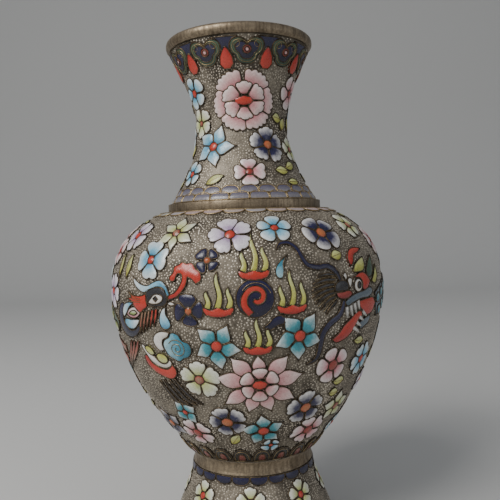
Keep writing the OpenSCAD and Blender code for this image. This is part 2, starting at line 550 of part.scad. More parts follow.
module dragon_nose() belly_glass(black) oval(37, 187, 8, 5.6, 0);
module dragon_ivory() belly_glass(ivory) {
    cell([[38.6, 193.4], [40, 196], [42, 191.6], [42.4, 187.8], [41.2, 187], [40.4, 190.6]]);
    for (k = [0 : 3]) strip([39.6 + 1.7 * k, 175.2 + 0.7 * k], [39 + 1.9 * k, 170.4 + 0.6 * k], 1.8, 1, 0);
    for (k = [0 : 2]) strip([46.4 + 1.2 * k, 160.2 + 3.4 * k], [48.8 + 1.2 * k, 158.6 + 3.6 * k], 1.8, 1, 0);
}
module dragon_eye() belly_glass(ivory) {
    difference() {
        oval(46.6, 186.6, 6.6, 7.6, 0);
        oval(46.6, 186.6, 4.2, 4.8, 0);
    }
    oval(46.6, 186.6, 3, 3.6, 0);
}
module dragon_flesh() belly_glass(red) {
    cell([[45, 191.6], [47.6, 194], [52, 194.2], [56, 191], [56, 186.6], [53, 184.4], [50.4, 186],
        [49.6, 190.4]]);
    cell([[47.4, 177], [52, 176.6], [57, 175.6], [59, 171.6], [56, 168], [52, 169], [49, 171.8]]);
    cell([[34, 155.4], [37, 157.8], [40, 163.4], [43.6, 166.6], [45.2, 162.6], [43, 158], [39, 153.6],
        [36, 153.4]]);
    cell([[33.6, 182.8], [36.6, 183.6], [40, 183.2], [41, 181.6], [38, 179.8], [35, 180.2]]);
    strip([46, 198], [50, 211], 3, 1.2, -1);
}
module dragon_jaws() belly_glass(slate) {
    cell([[39.4, 176.4], [42.4, 180.4], [47, 181.8], [53, 182.6], [58.4, 181.4], [56, 178.6], [50, 178.8],
        [46, 178.2], [42.8, 176.6]]);
    cell([[50.6, 159.6], [53, 164.6], [57.6, 166.6], [56, 162], [53, 158.6]]);
    strip([52.4, 199], [57.6, 210], 3.4, 1.4, -1);
    strip([57.6, 197.4], [63.6, 206.4], 3.4, 1.4, -1);
}
// A winding body: two rows of scales along a wave
dragon_scale_count = 15;
module dragon_scales() belly_glass(turquoise) for (k = [0 : dragon_scale_count - 1]) {
    a = 63.4 + 5 * k;
    z = 168 + 15 * sin(12 * (k + 1));
    oval(a, z + 5, 7, 6.2);
    oval(a + 2.5, z - 3.4, 7, 6.2);
}

// ---- What is shown ----

mouth_ring();
neck_shell();
shoulder_collar();
body_shell();
floor_cup();
waist_collar();
foot_shell();
foot_ring();
ruyi_ground();
ruyi_clouds();
ruyi_hearts();
ruyi_pearls();
red_drops();
neck_peony_petals();
neck_sky_petals();
neck_cream_petals();
neck_navy_petals();
neck_pink_petals();
neck_blossom_hearts();
neck_leaves();
neck_scales();
shoulder_lappets();
body_sky_petals();
body_cream_petals();
body_lilac_petals();
body_navy_petals();
body_pink_petals();
body_turquoise_petals();
body_blossom_hearts();
body_leaves();
lotus_petals();
pearl_disc();
pearl_swirl();
flame_bases();
flame_tongues();
red_fungus();
cloud_crests();
cloud_curls();
teal_drops();
phoenix_crest();
phoenix_face();
phoenix_eye();
phoenix_beak();
phoenix_beard();
phoenix_scales();
phoenix_plumes();
dark_plumes();
dragon_whiskers();
dragon_nose();
dragon_ivory();
dragon_eye();
dragon_flesh();
dragon_jaws();
dragon_scales();
lower_lappets();
foot_scallops();
foot_blossom_petals();
foot_blossom_hearts();
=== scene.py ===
# %% [markdown]
# # A cloisonne vase
#
# A cloisonne vase is a copper pot that wears a drawing in wire. The maker spins the wall, bends thin
# brass wire into cells, solders the cells on, and fills each one with ground glass that melts into a
# cushion in the kiln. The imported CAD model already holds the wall, the rings and the outline of every
# cell. This lesson reads those outlines and gives each one what a kiln gives: a domed glass pad, a
# tarnished wire, and a grained ground.

# %% The frame
import json
import math

import bmesh
import bpy
import numpy as np
from mathutils import Euler, Matrix, Vector, geometry


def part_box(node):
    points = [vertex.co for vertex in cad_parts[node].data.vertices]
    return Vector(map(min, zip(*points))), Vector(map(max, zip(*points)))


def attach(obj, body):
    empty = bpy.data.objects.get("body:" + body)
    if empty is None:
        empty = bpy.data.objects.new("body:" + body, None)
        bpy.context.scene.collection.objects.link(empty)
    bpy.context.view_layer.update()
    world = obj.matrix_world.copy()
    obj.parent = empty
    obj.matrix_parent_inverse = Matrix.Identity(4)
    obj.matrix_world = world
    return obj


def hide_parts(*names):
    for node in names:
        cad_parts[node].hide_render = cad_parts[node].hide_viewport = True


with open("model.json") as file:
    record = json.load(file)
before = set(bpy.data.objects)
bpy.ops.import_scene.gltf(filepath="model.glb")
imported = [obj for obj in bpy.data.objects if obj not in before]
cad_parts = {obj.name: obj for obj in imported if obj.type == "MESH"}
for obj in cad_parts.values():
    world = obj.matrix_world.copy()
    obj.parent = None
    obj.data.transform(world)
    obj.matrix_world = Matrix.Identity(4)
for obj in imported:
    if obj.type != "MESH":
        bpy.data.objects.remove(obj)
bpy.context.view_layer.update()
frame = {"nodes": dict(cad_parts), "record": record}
nodes = frame["nodes"]
MM = 0.001

# %% [markdown]
# ## The camera
#
# The camera comes first, so that every later choice can be judged in the same view. It stands a little
# above the belly's middle and looks slightly down, close enough that the vase fills the height of the
# view. The roll is small, and it belongs to the camera: the vase itself stands upright in its frame.

# %% Camera
EYE_DISTANCE = 0.464
EYE_HEIGHT = 0.225
EYE_ASIDE = 0.003
TILT_DOWN = math.radians(2.0)
ROLL = math.radians(2.0)

camera_data = bpy.data.cameras.new("camera")
camera_data.lens = 45.6
camera_data.sensor_width = 36
camera_data.clip_start = 0.01
camera = bpy.data.objects.new("camera", camera_data)
bpy.context.scene.collection.objects.link(camera)
camera.location = (EYE_ASIDE, -EYE_DISTANCE, EYE_HEIGHT)
look = Euler((math.radians(90) - TILT_DOWN, 0, 0)).to_matrix() @ Matrix.Rotation(-ROLL, 3, "Z")
camera.rotation_euler = look.to_euler()
bpy.context.scene.camera = camera

# %% [markdown]
# ## Reading the wall
#
# Everything on the vase follows its wall, so the wall's outline is the one thing that has to be known
# exactly. The CAD shells are loose triangles. The faces that point away from the axis give the outer
# outline: one radius for each height. A smooth curve through those points, cut into short equal steps,
# then serves as a tape measure: `s` is the distance walked up the wall, and the azimuth is the angle
# round it from the front.

# %% Triangles and outer outline of a CAD node
def triangles(node):
    """Merged corner points in mm, and the triangles that join them."""
    mesh = nodes[node].data
    mesh.calc_loop_triangles()
    points = np.empty(len(mesh.vertices) * 3)
    mesh.vertices.foreach_get("co", points)
    corners = np.empty(len(mesh.loop_triangles) * 3, int)
    mesh.loop_triangles.foreach_get("vertices", corners)
    merged, index = np.unique(np.round(points.reshape(-1, 3) / MM, 3), axis=0, return_inverse=True)
    return merged, index.reshape(-1)[corners].reshape(-1, 3)


def facing(points, faces):
    """Unit normal and middle of each triangle."""
    a, b, c = points[faces[:, 0]], points[faces[:, 1]], points[faces[:, 2]]
    normal = np.cross(b - a, c - a)
    length = np.maximum(np.linalg.norm(normal, axis=1), 1e-12)
    return normal / length[:, None], (a + b + c) / 3


def outer_outline(node, low, high):
    """Radius and height of the outer face, from the lowest height to the highest."""
    points, faces = triangles(node)
    normal, middle = facing(points, faces)
    girth = np.hypot(middle[:, 0], middle[:, 1])
    outward = (normal[:, 0] * middle[:, 0] + normal[:, 1] * middle[:, 1]) / np.maximum(girth, 1e-6)
    rim = points[np.unique(faces[outward > 0.2])]
    rows = {}
    for x, y, z in rim:
        if low - 0.01 <= z <= high + 0.01:
            key = round(z, 1)
            rows[key] = max(rows.get(key, (0, 0)), (math.hypot(x, y), z))
    return np.array([rows[key] for key in sorted(rows)])


# %% The wall as a tape measure
class Wall:
    """One section of the wall: walk s millimetres up it, go round by an azimuth, stand out by a height."""

    STEP = 0.5

    def __init__(self, node, low, high):
        outline = outer_outline(node, low, high)
        chord = np.concatenate([[0], np.cumsum(np.hypot(*np.diff(outline, axis=0).T))])
        slope = np.gradient(outline, chord, axis=0)
        fine = np.arange(0, chord[-1], self.STEP / 4)
        self.radius, self.height = [self.hermite(chord, outline[:, k], slope[:, k], fine) for k in (0, 1)]
        walked = np.concatenate([[0], np.cumsum(np.hypot(np.diff(self.radius), np.diff(self.height)))])
        self.s = np.arange(0, walked[-1], self.STEP)
        self.radius, self.height = [np.interp(self.s, walked, row) for row in (self.radius, self.height)]
        tangent_r, tangent_z = np.gradient(self.radius, self.s), np.gradient(self.height, self.s)
        size = np.hypot(tangent_r, tangent_z)
        self.normal_r, self.normal_z = tangent_z / size, -tangent_r / size

    @staticmethod
    def hermite(knots, values, slopes, at):
        k = np.clip(np.searchsorted(knots, at, side="right") - 1, 0, len(knots) - 2)
        width = knots[k + 1] - knots[k]
        t = (at - knots[k]) / width
        return ((1 + 2 * t) * (1 - t) ** 2 * values[k] + t * (1 - t) ** 2 * width * slopes[k]
                + t * t * (3 - 2 * t) * values[k + 1] + t * t * (t - 1) * width * slopes[k + 1])

    def row(self, values, s):
        return np.interp(s, self.s, values)

    def walk(self, points):
        """Azimuth in degrees and s of points near the wall."""
        girth = np.hypot(points[:, 0], points[:, 1])
        far = (self.radius[None] - girth[:, None]) ** 2 + (self.height[None] - points[:, 2:3]) ** 2
        return np.degrees(np.arctan2(points[:, 0], -points[:, 1])), self.s[far.argmin(1)]

    def point(self, azimuth, s, out):
        """Points in metres, standing out of the wall by so many millimetres."""
        angle = np.radians(azimuth)
        girth = self.row(self.radius, s) + out * self.row(self.normal_r, s)
        height = self.row(self.height, s) + out * self.row(self.normal_z, s)
        return np.stack([girth * np.sin(angle), -girth * np.cos(angle), height], -1) * MM

    def s_of(self, height):
        return float(np.interp(height, self.height, self.s))


def level(node, end):
    """Height in mm of a node's lower end (0) or upper end (1)."""
    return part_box(node)[end].z / MM


def from_front(azimuth):
    """The same azimuth between -180 and 180 degrees, where 0 is the front."""
    return (azimuth + 180) % 360 - 180


foot_wall = Wall("foot_shell", level("foot_shell", 0), level("waist_collar", 0))
belly_wall = Wall("body_shell", level("waist_collar", 1), level("shoulder_collar", 0))
neck_wall = Wall("neck_shell", level("shoulder_collar", 1), level("neck_shell", 1))
for name, wall in (("foot", foot_wall), ("belly", belly_wall), ("neck", neck_wall)):
    print(name, "wall:", round(wall.s[-1], 1), "mm long, widest radius", round(wall.radius.max(), 2))

# %% [markdown]
# ## Reading the cells
#
# A CAD cell is a thin solid that follows the wall. Its top face is the drawing: the edges that belong to
# only one top triangle, walked in order, are the line where the wire runs. A cell that has a hole gives
# two lines.

# %% Outlines of the cells of a node
def edge_loops(faces):
    """Closed walks along the edges that belong to one face only."""
    directed = {(a, b) for face in faces for a, b in zip(face, np.roll(face, -1))}
    onward = {a: b for a, b in directed if (b, a) not in directed}
    loops = []
    while onward:
        start, here = onward.popitem()
        loop = [start]
        while here != start and here in onward:
            loop.append(here)
            here = onward.pop(here)
        if here == start:
            loops.append(loop)
    return loops


def area(loop):
    x, y = loop[:, 0], loop[:, 1]
    return 0.5 * float(np.sum(x * np.roll(y, -1) - np.roll(x, -1) * y))


def inside(points, loop):
    """Which points lie inside a closed line."""
    x, y = points[:, 0:1], points[:, 1:2]
    ax, ay = loop[:, 0][None], loop[:, 1][None]
    bx, by = np.roll(loop[:, 0], -1)[None], np.roll(loop[:, 1], -1)[None]
    crosses = (ay > y) != (by > y)
    reach = (bx - ax) * (y - ay) / np.where(by == ay, 1e-9, by - ay) + ax
    return (np.sum(crosses & (x < reach), axis=1) % 2) == 1


class Cell:
    """One cell: closed lines in mm on the wall, measured from the cell's middle, with u round and v up."""

    def __init__(self, wall, azimuth, s, loops, reach=None):
        self.wall, self.azimuth, self.s, self.loops, self.reach = wall, azimuth, s, loops, reach

    def spread(self, uv):
        """Azimuth and s of places that are given from the cell's middle."""
        s = self.s + uv[:, 1]
        return self.azimuth + np.degrees(uv[:, 0] / self.wall.row(self.wall.radius, s)), s

    def gather(self, azimuth, s):
        """Places from the cell's middle, for an azimuth and s each."""
        turn = np.radians(from_front(azimuth - self.azimuth))
        return np.stack([turn * self.wall.row(self.wall.radius, s), s - self.s], 1)


def cells_of(node, wall):
    """The cells of a node, each with its closed lines."""
    points, faces = triangles(node)
    normal, middle = facing(points, faces)
    azimuth, s = wall.walk(middle)
    angle, flat = np.radians(azimuth), wall.row(wall.normal_r, s)
    out = np.stack([flat * np.sin(angle), -flat * np.cos(angle), wall.row(wall.normal_z, s)], 1)
    top = faces[(normal * out).sum(1) > 0.6]
    cells, holes = [], []
    for loop in edge_loops(top):
        azimuth, s = wall.walk(points[loop])
        first = azimuth[0]
        azimuth = from_front(azimuth - first)
        cell = Cell(wall, first + (azimuth.min() + azimuth.max()) / 2, (s.min() + s.max()) / 2, [])
        cell.loops = [cell.gather(first + azimuth, s)]
        (cells if area(cell.loops[0]) > 0 else holes).append(cell)
    for hole in holes:
        for cell in cells:
            place = cell.gather(*hole.spread(hole.loops[0]))
            if abs(place[0, 0]) < 40 and inside(place[:1], cell.loops[0])[0]:
                cell.loops.append(place)
                break
    return sorted(cells, key=lambda cell: (round(cell.azimuth % 360, 2), cell.s))


WALL_OF = {}
for name in nodes:
    if name.startswith(("ruyi", "red_drops", "neck_")) and name != "neck_shell":
        WALL_OF[name] = neck_wall
    elif name.startswith("foot_") and name not in ("foot_shell", "foot_ring"):
        WALL_OF[name] = foot_wall
SHELLS = ("neck_shell", "body_shell", "foot_shell", "floor_cup")
METAL = ("mouth_ring", "neck_shell", "shoulder_collar", "body_shell", "floor_cup", "waist_collar",
         "foot_shell", "foot_ring")
cells = {name: cells_of(name, WALL_OF.get(name, belly_wall)) for name in nodes if name not in METAL}
print("cells read:", sum(len(group) for group in cells.values()), "in", len(cells), "nodes")

# %% [markdown]
# ## Finishes
#
# Old enamel is not one flat colour. The glass is white at a petal's tip and tinted at its base, it is a
# little cloudy, and it has pin holes from the kiln. Next to the wire it is darkened with painted shade, the
# shade that falls in the crease where the glass meets the wire. Each pad carries three numbers for this:
# `reach` runs from the base to the tip, `rim` from the wire to the middle, and `tone` differs from pad to
# pad. The shader mixes its colours from those, and from noise that is fixed to the object.

# %% Shader helpers
def shader(name):
    """A new material, its node tree, and its Principled shader."""
    material = bpy.data.materials.new(name)
    material.use_nodes = True
    tree = material.node_tree
    principled = next(n for n in tree.nodes if n.type == "BSDF_PRINCIPLED")
    return material, tree, principled


def set_socket(tree, socket, value):
    """Joins a socket to another one, or gives it a value."""
    if isinstance(value, bpy.types.NodeSocket):
        tree.links.new(value, socket)
    else:
        socket.default_value = value


def add(tree, kind, settings=(), **inputs):
    """A new node with its settings, and its inputs by name."""
    node = tree.nodes.new(kind)
    for key, value in dict(settings).items():
        setattr(node, key, value)
    for key, value in inputs.items():
        set_socket(tree, node.inputs[key], value)
    return node


def noise(tree, scale, detail=3.0, roughness=0.6):
    place = add(tree, "ShaderNodeTexCoord")
    return add(tree, "ShaderNodeTexNoise", Vector=place.outputs["Object"], Scale=scale, Detail=detail,
               Roughness=roughness).outputs["Fac"]


def ramp(tree, value, *stops):
    """A colour or grey for each value: stops are (position, colour or number)."""
    node = add(tree, "ShaderNodeValToRGB", Fac=value)
    while len(node.color_ramp.elements) < len(stops):
        node.color_ramp.elements.new(0.5)
    for element, (position, shade) in zip(node.color_ramp.elements, stops):
        element.position = position
        element.color = (*shade, 1) if isinstance(shade, tuple) else (shade, shade, shade, 1)
    return node.outputs["Color"]


def blend_colours(tree, kind, share, a, b):
    node = tree.nodes.new("ShaderNodeMix")
    node.data_type = "RGBA"
    node.blend_type = kind
    for socket, value in ((node.inputs["Factor"], share), (node.inputs[6], a), (node.inputs[7], b)):
        set_socket(tree, socket, (*value, 1) if isinstance(value, tuple) else value)
    return node.outputs[2]


def maths(tree, operation, *values):
    node = tree.nodes.new("ShaderNodeMath")
    node.operation = operation
    for socket, value in zip(node.inputs, values):
        set_socket(tree, socket, value)
    return node.outputs[0]


def attribute(tree, name):
    return add(tree, "ShaderNodeAttribute", {"attribute_name": name}).outputs["Fac"]


def bump(tree, principled, height, strength, distance):
    node = add(tree, "ShaderNodeBump", Height=height, Strength=strength, Distance=distance)
    tree.links.new(node.outputs["Normal"], principled.inputs["Normal"])


# %% Enamel
PIT = (0.16, 0.12, 0.09)


def enamel(name, base, body, tip, spread=0.55, by_tone=None):
    """Melted glass: base, body and tip colours along a petal, cloudy, pitted, and with painted shade along
    the wire.
    """
    material, tree, principled = shader("enamel_" + name)
    wander = maths(tree, "MULTIPLY_ADD", noise(tree, 420), 0.5, -0.25)
    reach = maths(tree, "ADD", attribute(tree, "reach"), wander)
    colour = ramp(tree, reach, (0.0, base), (spread * 0.6, body), (min(0.95, spread + 0.35), tip))
    if by_tone:
        other = ramp(tree, attribute(tree, "tone"), *by_tone)
        colour = blend_colours(tree, "MIX", 0.75, colour, other)
    cloud = ramp(tree, noise(tree, 900, 4.0), (0.25, 0.72), (0.75, 1.0))
    colour = blend_colours(tree, "MULTIPLY", 1.0, colour, cloud)
    # painted shade: the glass is darkened in the crease where it meets the wire
    wire_crease_shade = ramp(tree, attribute(tree, "rim"), (0.0, 0.45), (0.45, 1.0))
    colour = blend_colours(tree, "MULTIPLY", 0.8, colour, wire_crease_shade)
    pits = ramp(tree, noise(tree, 1500, 2.0), (0.66, 0.0), (0.74, 0.75))
    colour = blend_colours(tree, "MIX", pits, colour, PIT)
    tree.links.new(colour, principled.inputs["Base Color"])
    tree.links.new(ramp(tree, noise(tree, 650), (0.3, 0.22), (0.8, 0.48)), principled.inputs["Roughness"])
    principled.inputs["Specular IOR Level"].default_value = 0.55
    principled.inputs["Coat Weight"].default_value = 0.25
    principled.inputs["Coat Roughness"].default_value = 0.2
    bump(tree, principled, noise(tree, 1100, 4.0), 0.35, 0.0004)
    return material


WHITE = (0.80, 0.78, 0.76)
GLASS = {
    "sky": enamel("sky", (0.05, 0.24, 0.40), (0.22, 0.52, 0.70), (0.76, 0.83, 0.85)),
    "cream": enamel("cream", (0.42, 0.44, 0.08), (0.62, 0.66, 0.36), (0.80, 0.80, 0.70)),
    "lilac": enamel("lilac", (0.34, 0.20, 0.40), (0.62, 0.52, 0.66), (0.82, 0.78, 0.82)),
    "navy": enamel("navy", (0.003, 0.003, 0.018), (0.006, 0.005, 0.035), (0.012, 0.011, 0.06), 0.7),
    "navy_white": enamel("navy_white", (0.004, 0.004, 0.03), (0.010, 0.009, 0.07), WHITE, 0.62),
    "pink": enamel("pink", (0.52, 0.10, 0.12), (0.74, 0.42, 0.44), (0.84, 0.74, 0.72)),
    "turquoise": enamel("turquoise", (0.02, 0.16, 0.20), (0.05, 0.32, 0.38), (0.80, 0.82, 0.80), 0.62),
    "lotus": enamel("lotus", (0.50, 0.16, 0.18), (0.74, 0.44, 0.43), (0.84, 0.72, 0.68), 0.75),
    "leaf": enamel("leaf", (0.36, 0.36, 0.05), (0.54, 0.54, 0.12), (0.62, 0.66, 0.30)),
    "green": enamel("green", (0.025, 0.055, 0.03), (0.04, 0.09, 0.05), (0.06, 0.11, 0.055)),
    "red": enamel("red", (0.34, 0.016, 0.012), (0.50, 0.03, 0.015), (0.55, 0.05, 0.025)),
    "dark_red": enamel("dark_red", (0.18, 0.015, 0.01), (0.28, 0.025, 0.02), (0.36, 0.05, 0.03)),
    "orange": enamel("orange", (0.26, 0.05, 0.02), (0.42, 0.09, 0.03), (0.50, 0.16, 0.05)),
    "ivory": enamel("ivory", (0.62, 0.58, 0.50), (0.74, 0.71, 0.65), (0.80, 0.78, 0.74)),
    "spiral_blue": enamel("spiral_blue", (0.02, 0.14, 0.20), (0.05, 0.27, 0.38), (0.40, 0.62, 0.68), 0.8),
    "slate": enamel("slate", (0.05, 0.085, 0.11), (0.09, 0.13, 0.17), (0.17, 0.21, 0.24)),
    "black": enamel("black", (0.008, 0.008, 0.010), (0.014, 0.013, 0.016), (0.03, 0.03, 0.035)),
    "maroon": enamel("maroon", (0.10, 0.012, 0.012), (0.16, 0.03, 0.025), (0.26, 0.07, 0.05)),
    "rust": enamel("rust", (0.22, 0.03, 0.02), (0.34, 0.07, 0.04), (0.36, 0.20, 0.12)),
    "scale_green": enamel("scale_green", (0.14, 0.24, 0.05), (0.32, 0.40, 0.12), (0.74, 0.74, 0.66), 0.75),
    "scale_blue": enamel("scale_blue", (0.02, 0.10, 0.16), (0.04, 0.24, 0.30), (0.42, 0.56, 0.56), 0.75),
    "violet_scale": enamel("violet_scale", (0.30, 0.28, 0.29), (0.18, 0.17, 0.21), (0.08, 0.07, 0.12)),
    "lappet": enamel("lappet", (0.34, 0.32, 0.30), (0.42, 0.40, 0.37), (0.46, 0.44, 0.40), 0.55,
                     ((0.0, (0.42, 0.40, 0.36)), (0.35, (0.34, 0.40, 0.32)), (0.6, (0.52, 0.34, 0.34)),
                      (1.0, (0.40, 0.38, 0.42)))),
}


# %% Metals
def metal(name, dark, bright, scale, roughness, metallic, streaks=0.0, grain=0.3):
    """Old metal: tarnish in patches, fine grain, and wear streaks that run up and down."""
    material, tree, principled = shader(name)
    patches = noise(tree, scale, 5.0, 0.65)
    if streaks:
        place = add(tree, "ShaderNodeTexCoord")
        squeezed = add(tree, "ShaderNodeMapping", Vector=place.outputs["Object"], Scale=(1, 1, 0.12))
        lines = add(tree, "ShaderNodeTexNoise", Vector=squeezed.outputs["Vector"], Scale=520, Detail=3.0)
        patches = maths(tree, "ADD", maths(tree, "MULTIPLY", patches, 1 - streaks),
                        maths(tree, "MULTIPLY", lines.outputs["Fac"], streaks))
    colour = ramp(tree, patches, (0.34, dark), (0.66, bright))
    speckle = ramp(tree, noise(tree, scale * 14, 2.0), (0.35, 0.55), (0.62, 1.0))
    colour = blend_colours(tree, "MULTIPLY", grain * 2, colour, speckle)
    tree.links.new(colour, principled.inputs["Base Color"])
    tree.links.new(ramp(tree, patches, (0.3, roughness + 0.18), (0.7, roughness - 0.05)),
                   principled.inputs["Roughness"])
    principled.inputs["Metallic"].default_value = metallic
    bump(tree, principled, noise(tree, scale * 10, 4.0), grain, 0.0005)
    return material


GROUND = metal("tarnished_ground", (0.085, 0.07, 0.052), (0.30, 0.26, 0.20), 36, 0.55, 0.5)
GRAIN = metal("ground_grains", (0.25, 0.215, 0.17), (0.68, 0.61, 0.50), 40, 0.42, 0.55)
INSIDE = metal("inside_of_the_wall", (0.05, 0.04, 0.03), (0.12, 0.09, 0.065), 40, 0.6, 0.5)
WIRE = metal("tarnished_wire", (0.018, 0.014, 0.012), (0.17, 0.125, 0.075), 330, 0.42, 0.8, 0.0, 0.2)
GILT_WIRE = metal("gilt_wire", (0.20, 0.14, 0.07), (0.52, 0.40, 0.22), 300, 0.36, 0.9, 0.0, 0.2)
BRASS = metal("worn_brass", (0.115, 0.085, 0.055), (0.40, 0.32, 0.22), 60, 0.4, 0.8, 0.55, 0.3)
print("finishes:", len(bpy.data.materials))

# %% [markdown]
# ## Geometry Nodes trees
#
# Four rules make most of the metalwork, and each is a small tree:
#
# * **turned** takes one cross-section and turns it round the axis, as a lathe does. A grid of points is bent
#   round: its columns are the turns, and its rows look up the points of the cross-section.
# * **wire_on_lines** runs a round wire along lines, as the maker lays it.
# * **grains** scatters small peaks over a surface, a set distance apart, which gives the punched ground.
# * **ring_of** repeats one drawn piece round the vase at an even pitch, with its own tone each time.
#
# A result is copied to a plain mesh at once, so no modifier is left on a finished piece.

# %% Tree helpers
class Rule:
    """A Geometry Nodes tree with named inputs, which can be run on an object."""

    def __init__(self, name, **inputs):
        self.tree = bpy.data.node_groups.new(name, "GeometryNodeTree")
        face = self.tree.interface
        face.new_socket("Geometry", in_out="INPUT", socket_type="NodeSocketGeometry")
        kinds = {int: "NodeSocketInt", float: "NodeSocketFloat", None: "NodeSocketMaterial"}
        self.sockets = {}
        for key, value in inputs.items():
            kind = kinds[None if value is None else type(value)]
            self.sockets[key] = face.new_socket(key, in_out="INPUT", socket_type=kind)
            if value is not None:
                self.sockets[key].default_value = value
        face.new_socket("Geometry", in_out="OUTPUT", socket_type="NodeSocketGeometry")
        self.input = self.tree.nodes.new("NodeGroupInput").outputs

    def node(self, kind, settings=(), **inputs):
        return add(self.tree, kind, settings, **inputs)

    def finish(self, geometry_socket):
        """The end of every rule: instances made real, the material set, the result given out."""
        real = self.node("GeometryNodeRealizeInstances", Geometry=geometry_socket)
        dressed = self.node("GeometryNodeSetMaterial", Geometry=real.outputs[0],
                            Material=self.input["Material"])
        out = self.tree.nodes.new("NodeGroupOutput")
        self.tree.links.new(dressed.outputs[0], out.inputs[0])

    def run(self, source, name, **values):
        """The tree's result on a mesh, as a plain object."""
        holder = bpy.data.objects.new(name + "_source", source)
        bpy.context.scene.collection.objects.link(holder)
        modifier = holder.modifiers.new("rule", "NODES")
        modifier.node_group = self.tree
        for key, value in values.items():
            modifier[self.sockets[key].identifier] = value
        bpy.context.view_layer.update()
        made = bpy.data.meshes.new_from_object(holder.evaluated_get(bpy.context.evaluated_depsgraph_get()))
        bpy.data.objects.remove(holder)
        return put(made, name)


def put(mesh, name):
    mesh.name = name
    piece = bpy.data.objects.new(name, mesh)
    bpy.context.scene.collection.objects.link(piece)
    return piece


def line_mesh(name, lines, closed):
    """A mesh of edges only, one chain for each line of points."""
    points, edges = [], []
    for line in lines:
        first = len(points)
        points.extend(line)
        edges.extend((first + k, first + k + 1) for k in range(len(line) - 1))
        if closed:
            edges.append((first + len(line) - 1, first))
    mesh = bpy.data.meshes.new(name)
    mesh.from_pydata([tuple(p) for p in points], edges, [])
    return mesh


# %% The four rules
def turned_rule():
    """One cross-section, turned round the axis."""
    rule = Rule("turned", Turns=192, Material=None)
    size = rule.node("GeometryNodeAttributeDomainSize", Geometry=rule.input["Geometry"])
    count = size.outputs["Point Count"]
    columns = maths(rule.tree, "ADD", rule.input["Turns"], 1.0)
    grid = rule.node("GeometryNodeMeshGrid")
    rule.tree.links.new(columns, grid.inputs["Vertices X"])
    rule.tree.links.new(count, grid.inputs["Vertices Y"])
    index = rule.node("GeometryNodeInputIndex").outputs[0]
    nearer = maths(rule.tree, "ADD", index, 0.5)
    column = maths(rule.tree, "FLOOR", maths(rule.tree, "DIVIDE", nearer, count))
    row = maths(rule.tree, "SUBTRACT", index, maths(rule.tree, "MULTIPLY", column, count))
    position = rule.node("GeometryNodeInputPosition").outputs[0]
    sample = rule.node("GeometryNodeSampleIndex", {"data_type": "FLOAT_VECTOR", "domain": "POINT"},
                       Geometry=rule.input["Geometry"], Value=position, Index=row)
    section = rule.node("ShaderNodeSeparateXYZ", Vector=sample.outputs[0])
    share = maths(rule.tree, "DIVIDE", column, rule.input["Turns"])
    angle = maths(rule.tree, "MULTIPLY", share, 2 * math.pi)
    x = maths(rule.tree, "MULTIPLY", section.outputs["X"], maths(rule.tree, "SINE", angle))
    y = maths(rule.tree, "MULTIPLY", section.outputs["X"], maths(rule.tree, "COSINE", angle))
    back = maths(rule.tree, "MULTIPLY", y, -1.0)
    place = rule.node("ShaderNodeCombineXYZ", X=x, Y=back, Z=section.outputs["Z"])
    bent = rule.node("GeometryNodeSetPosition", Geometry=grid.outputs["Mesh"], Position=place.outputs[0])
    sewn = rule.node("GeometryNodeMergeByDistance", Geometry=bent.outputs[0], Distance=0.00001)
    rule.finish(sewn.outputs[0])
    return rule


def wire_rule():
    """A round wire along each line."""
    rule = Rule("wire_on_lines", Radius=0.0004, Sides=6, Material=None)
    lines = rule.node("GeometryNodeMeshToCurve", Mesh=rule.input["Geometry"])
    section = rule.node("GeometryNodeCurvePrimitiveCircle", Resolution=rule.input["Sides"],
                        Radius=rule.input["Radius"])
    wire = rule.node("GeometryNodeCurveToMesh", Curve=lines.outputs[0])
    rule.tree.links.new(section.outputs[0], wire.inputs["Profile Curve"])
    smooth = rule.node("GeometryNodeSetShadeSmooth", Geometry=wire.outputs[0])
    rule.finish(smooth.outputs[0])
    return rule


def grain_rule():
    """Small peaks scattered over a surface, a set distance apart."""
    rule = Rule("grains", Spacing=0.0014, Width=0.0006, Height=0.0004, Seed=3, Material=None)
    points = rule.node("GeometryNodeDistributePointsOnFaces", {"distribute_method": "POISSON"},
                       Mesh=rule.input["Geometry"], Seed=rule.input["Seed"])
    points.inputs["Density Max"].default_value = 900000
    rule.tree.links.new(rule.input["Spacing"], points.inputs["Distance Min"])
    peak = rule.node("GeometryNodeMeshCone", {"fill_type": "NONE"}, Vertices=5)
    for key, value in (("Radius Bottom", rule.input["Width"]), ("Depth", rule.input["Height"])):
        rule.tree.links.new(value, peak.inputs[key])
    peak.inputs["Radius Top"].default_value = 0
    size = rule.node("FunctionNodeRandomValue", {"data_type": "FLOAT"})
    size.inputs[2].default_value, size.inputs[3].default_value = 0.6, 1.25
    rule.tree.links.new(rule.input["Seed"], size.inputs["Seed"])
    peaks = rule.node("GeometryNodeInstanceOnPoints", Points=points.outputs["Points"],
                      Instance=peak.outputs[0], Rotation=points.outputs["Rotation"], Scale=size.outputs[1])
    smooth = rule.node("GeometryNodeSetShadeSmooth", Geometry=peaks.outputs[0])
    rule.finish(smooth.outputs[0])
    return rule


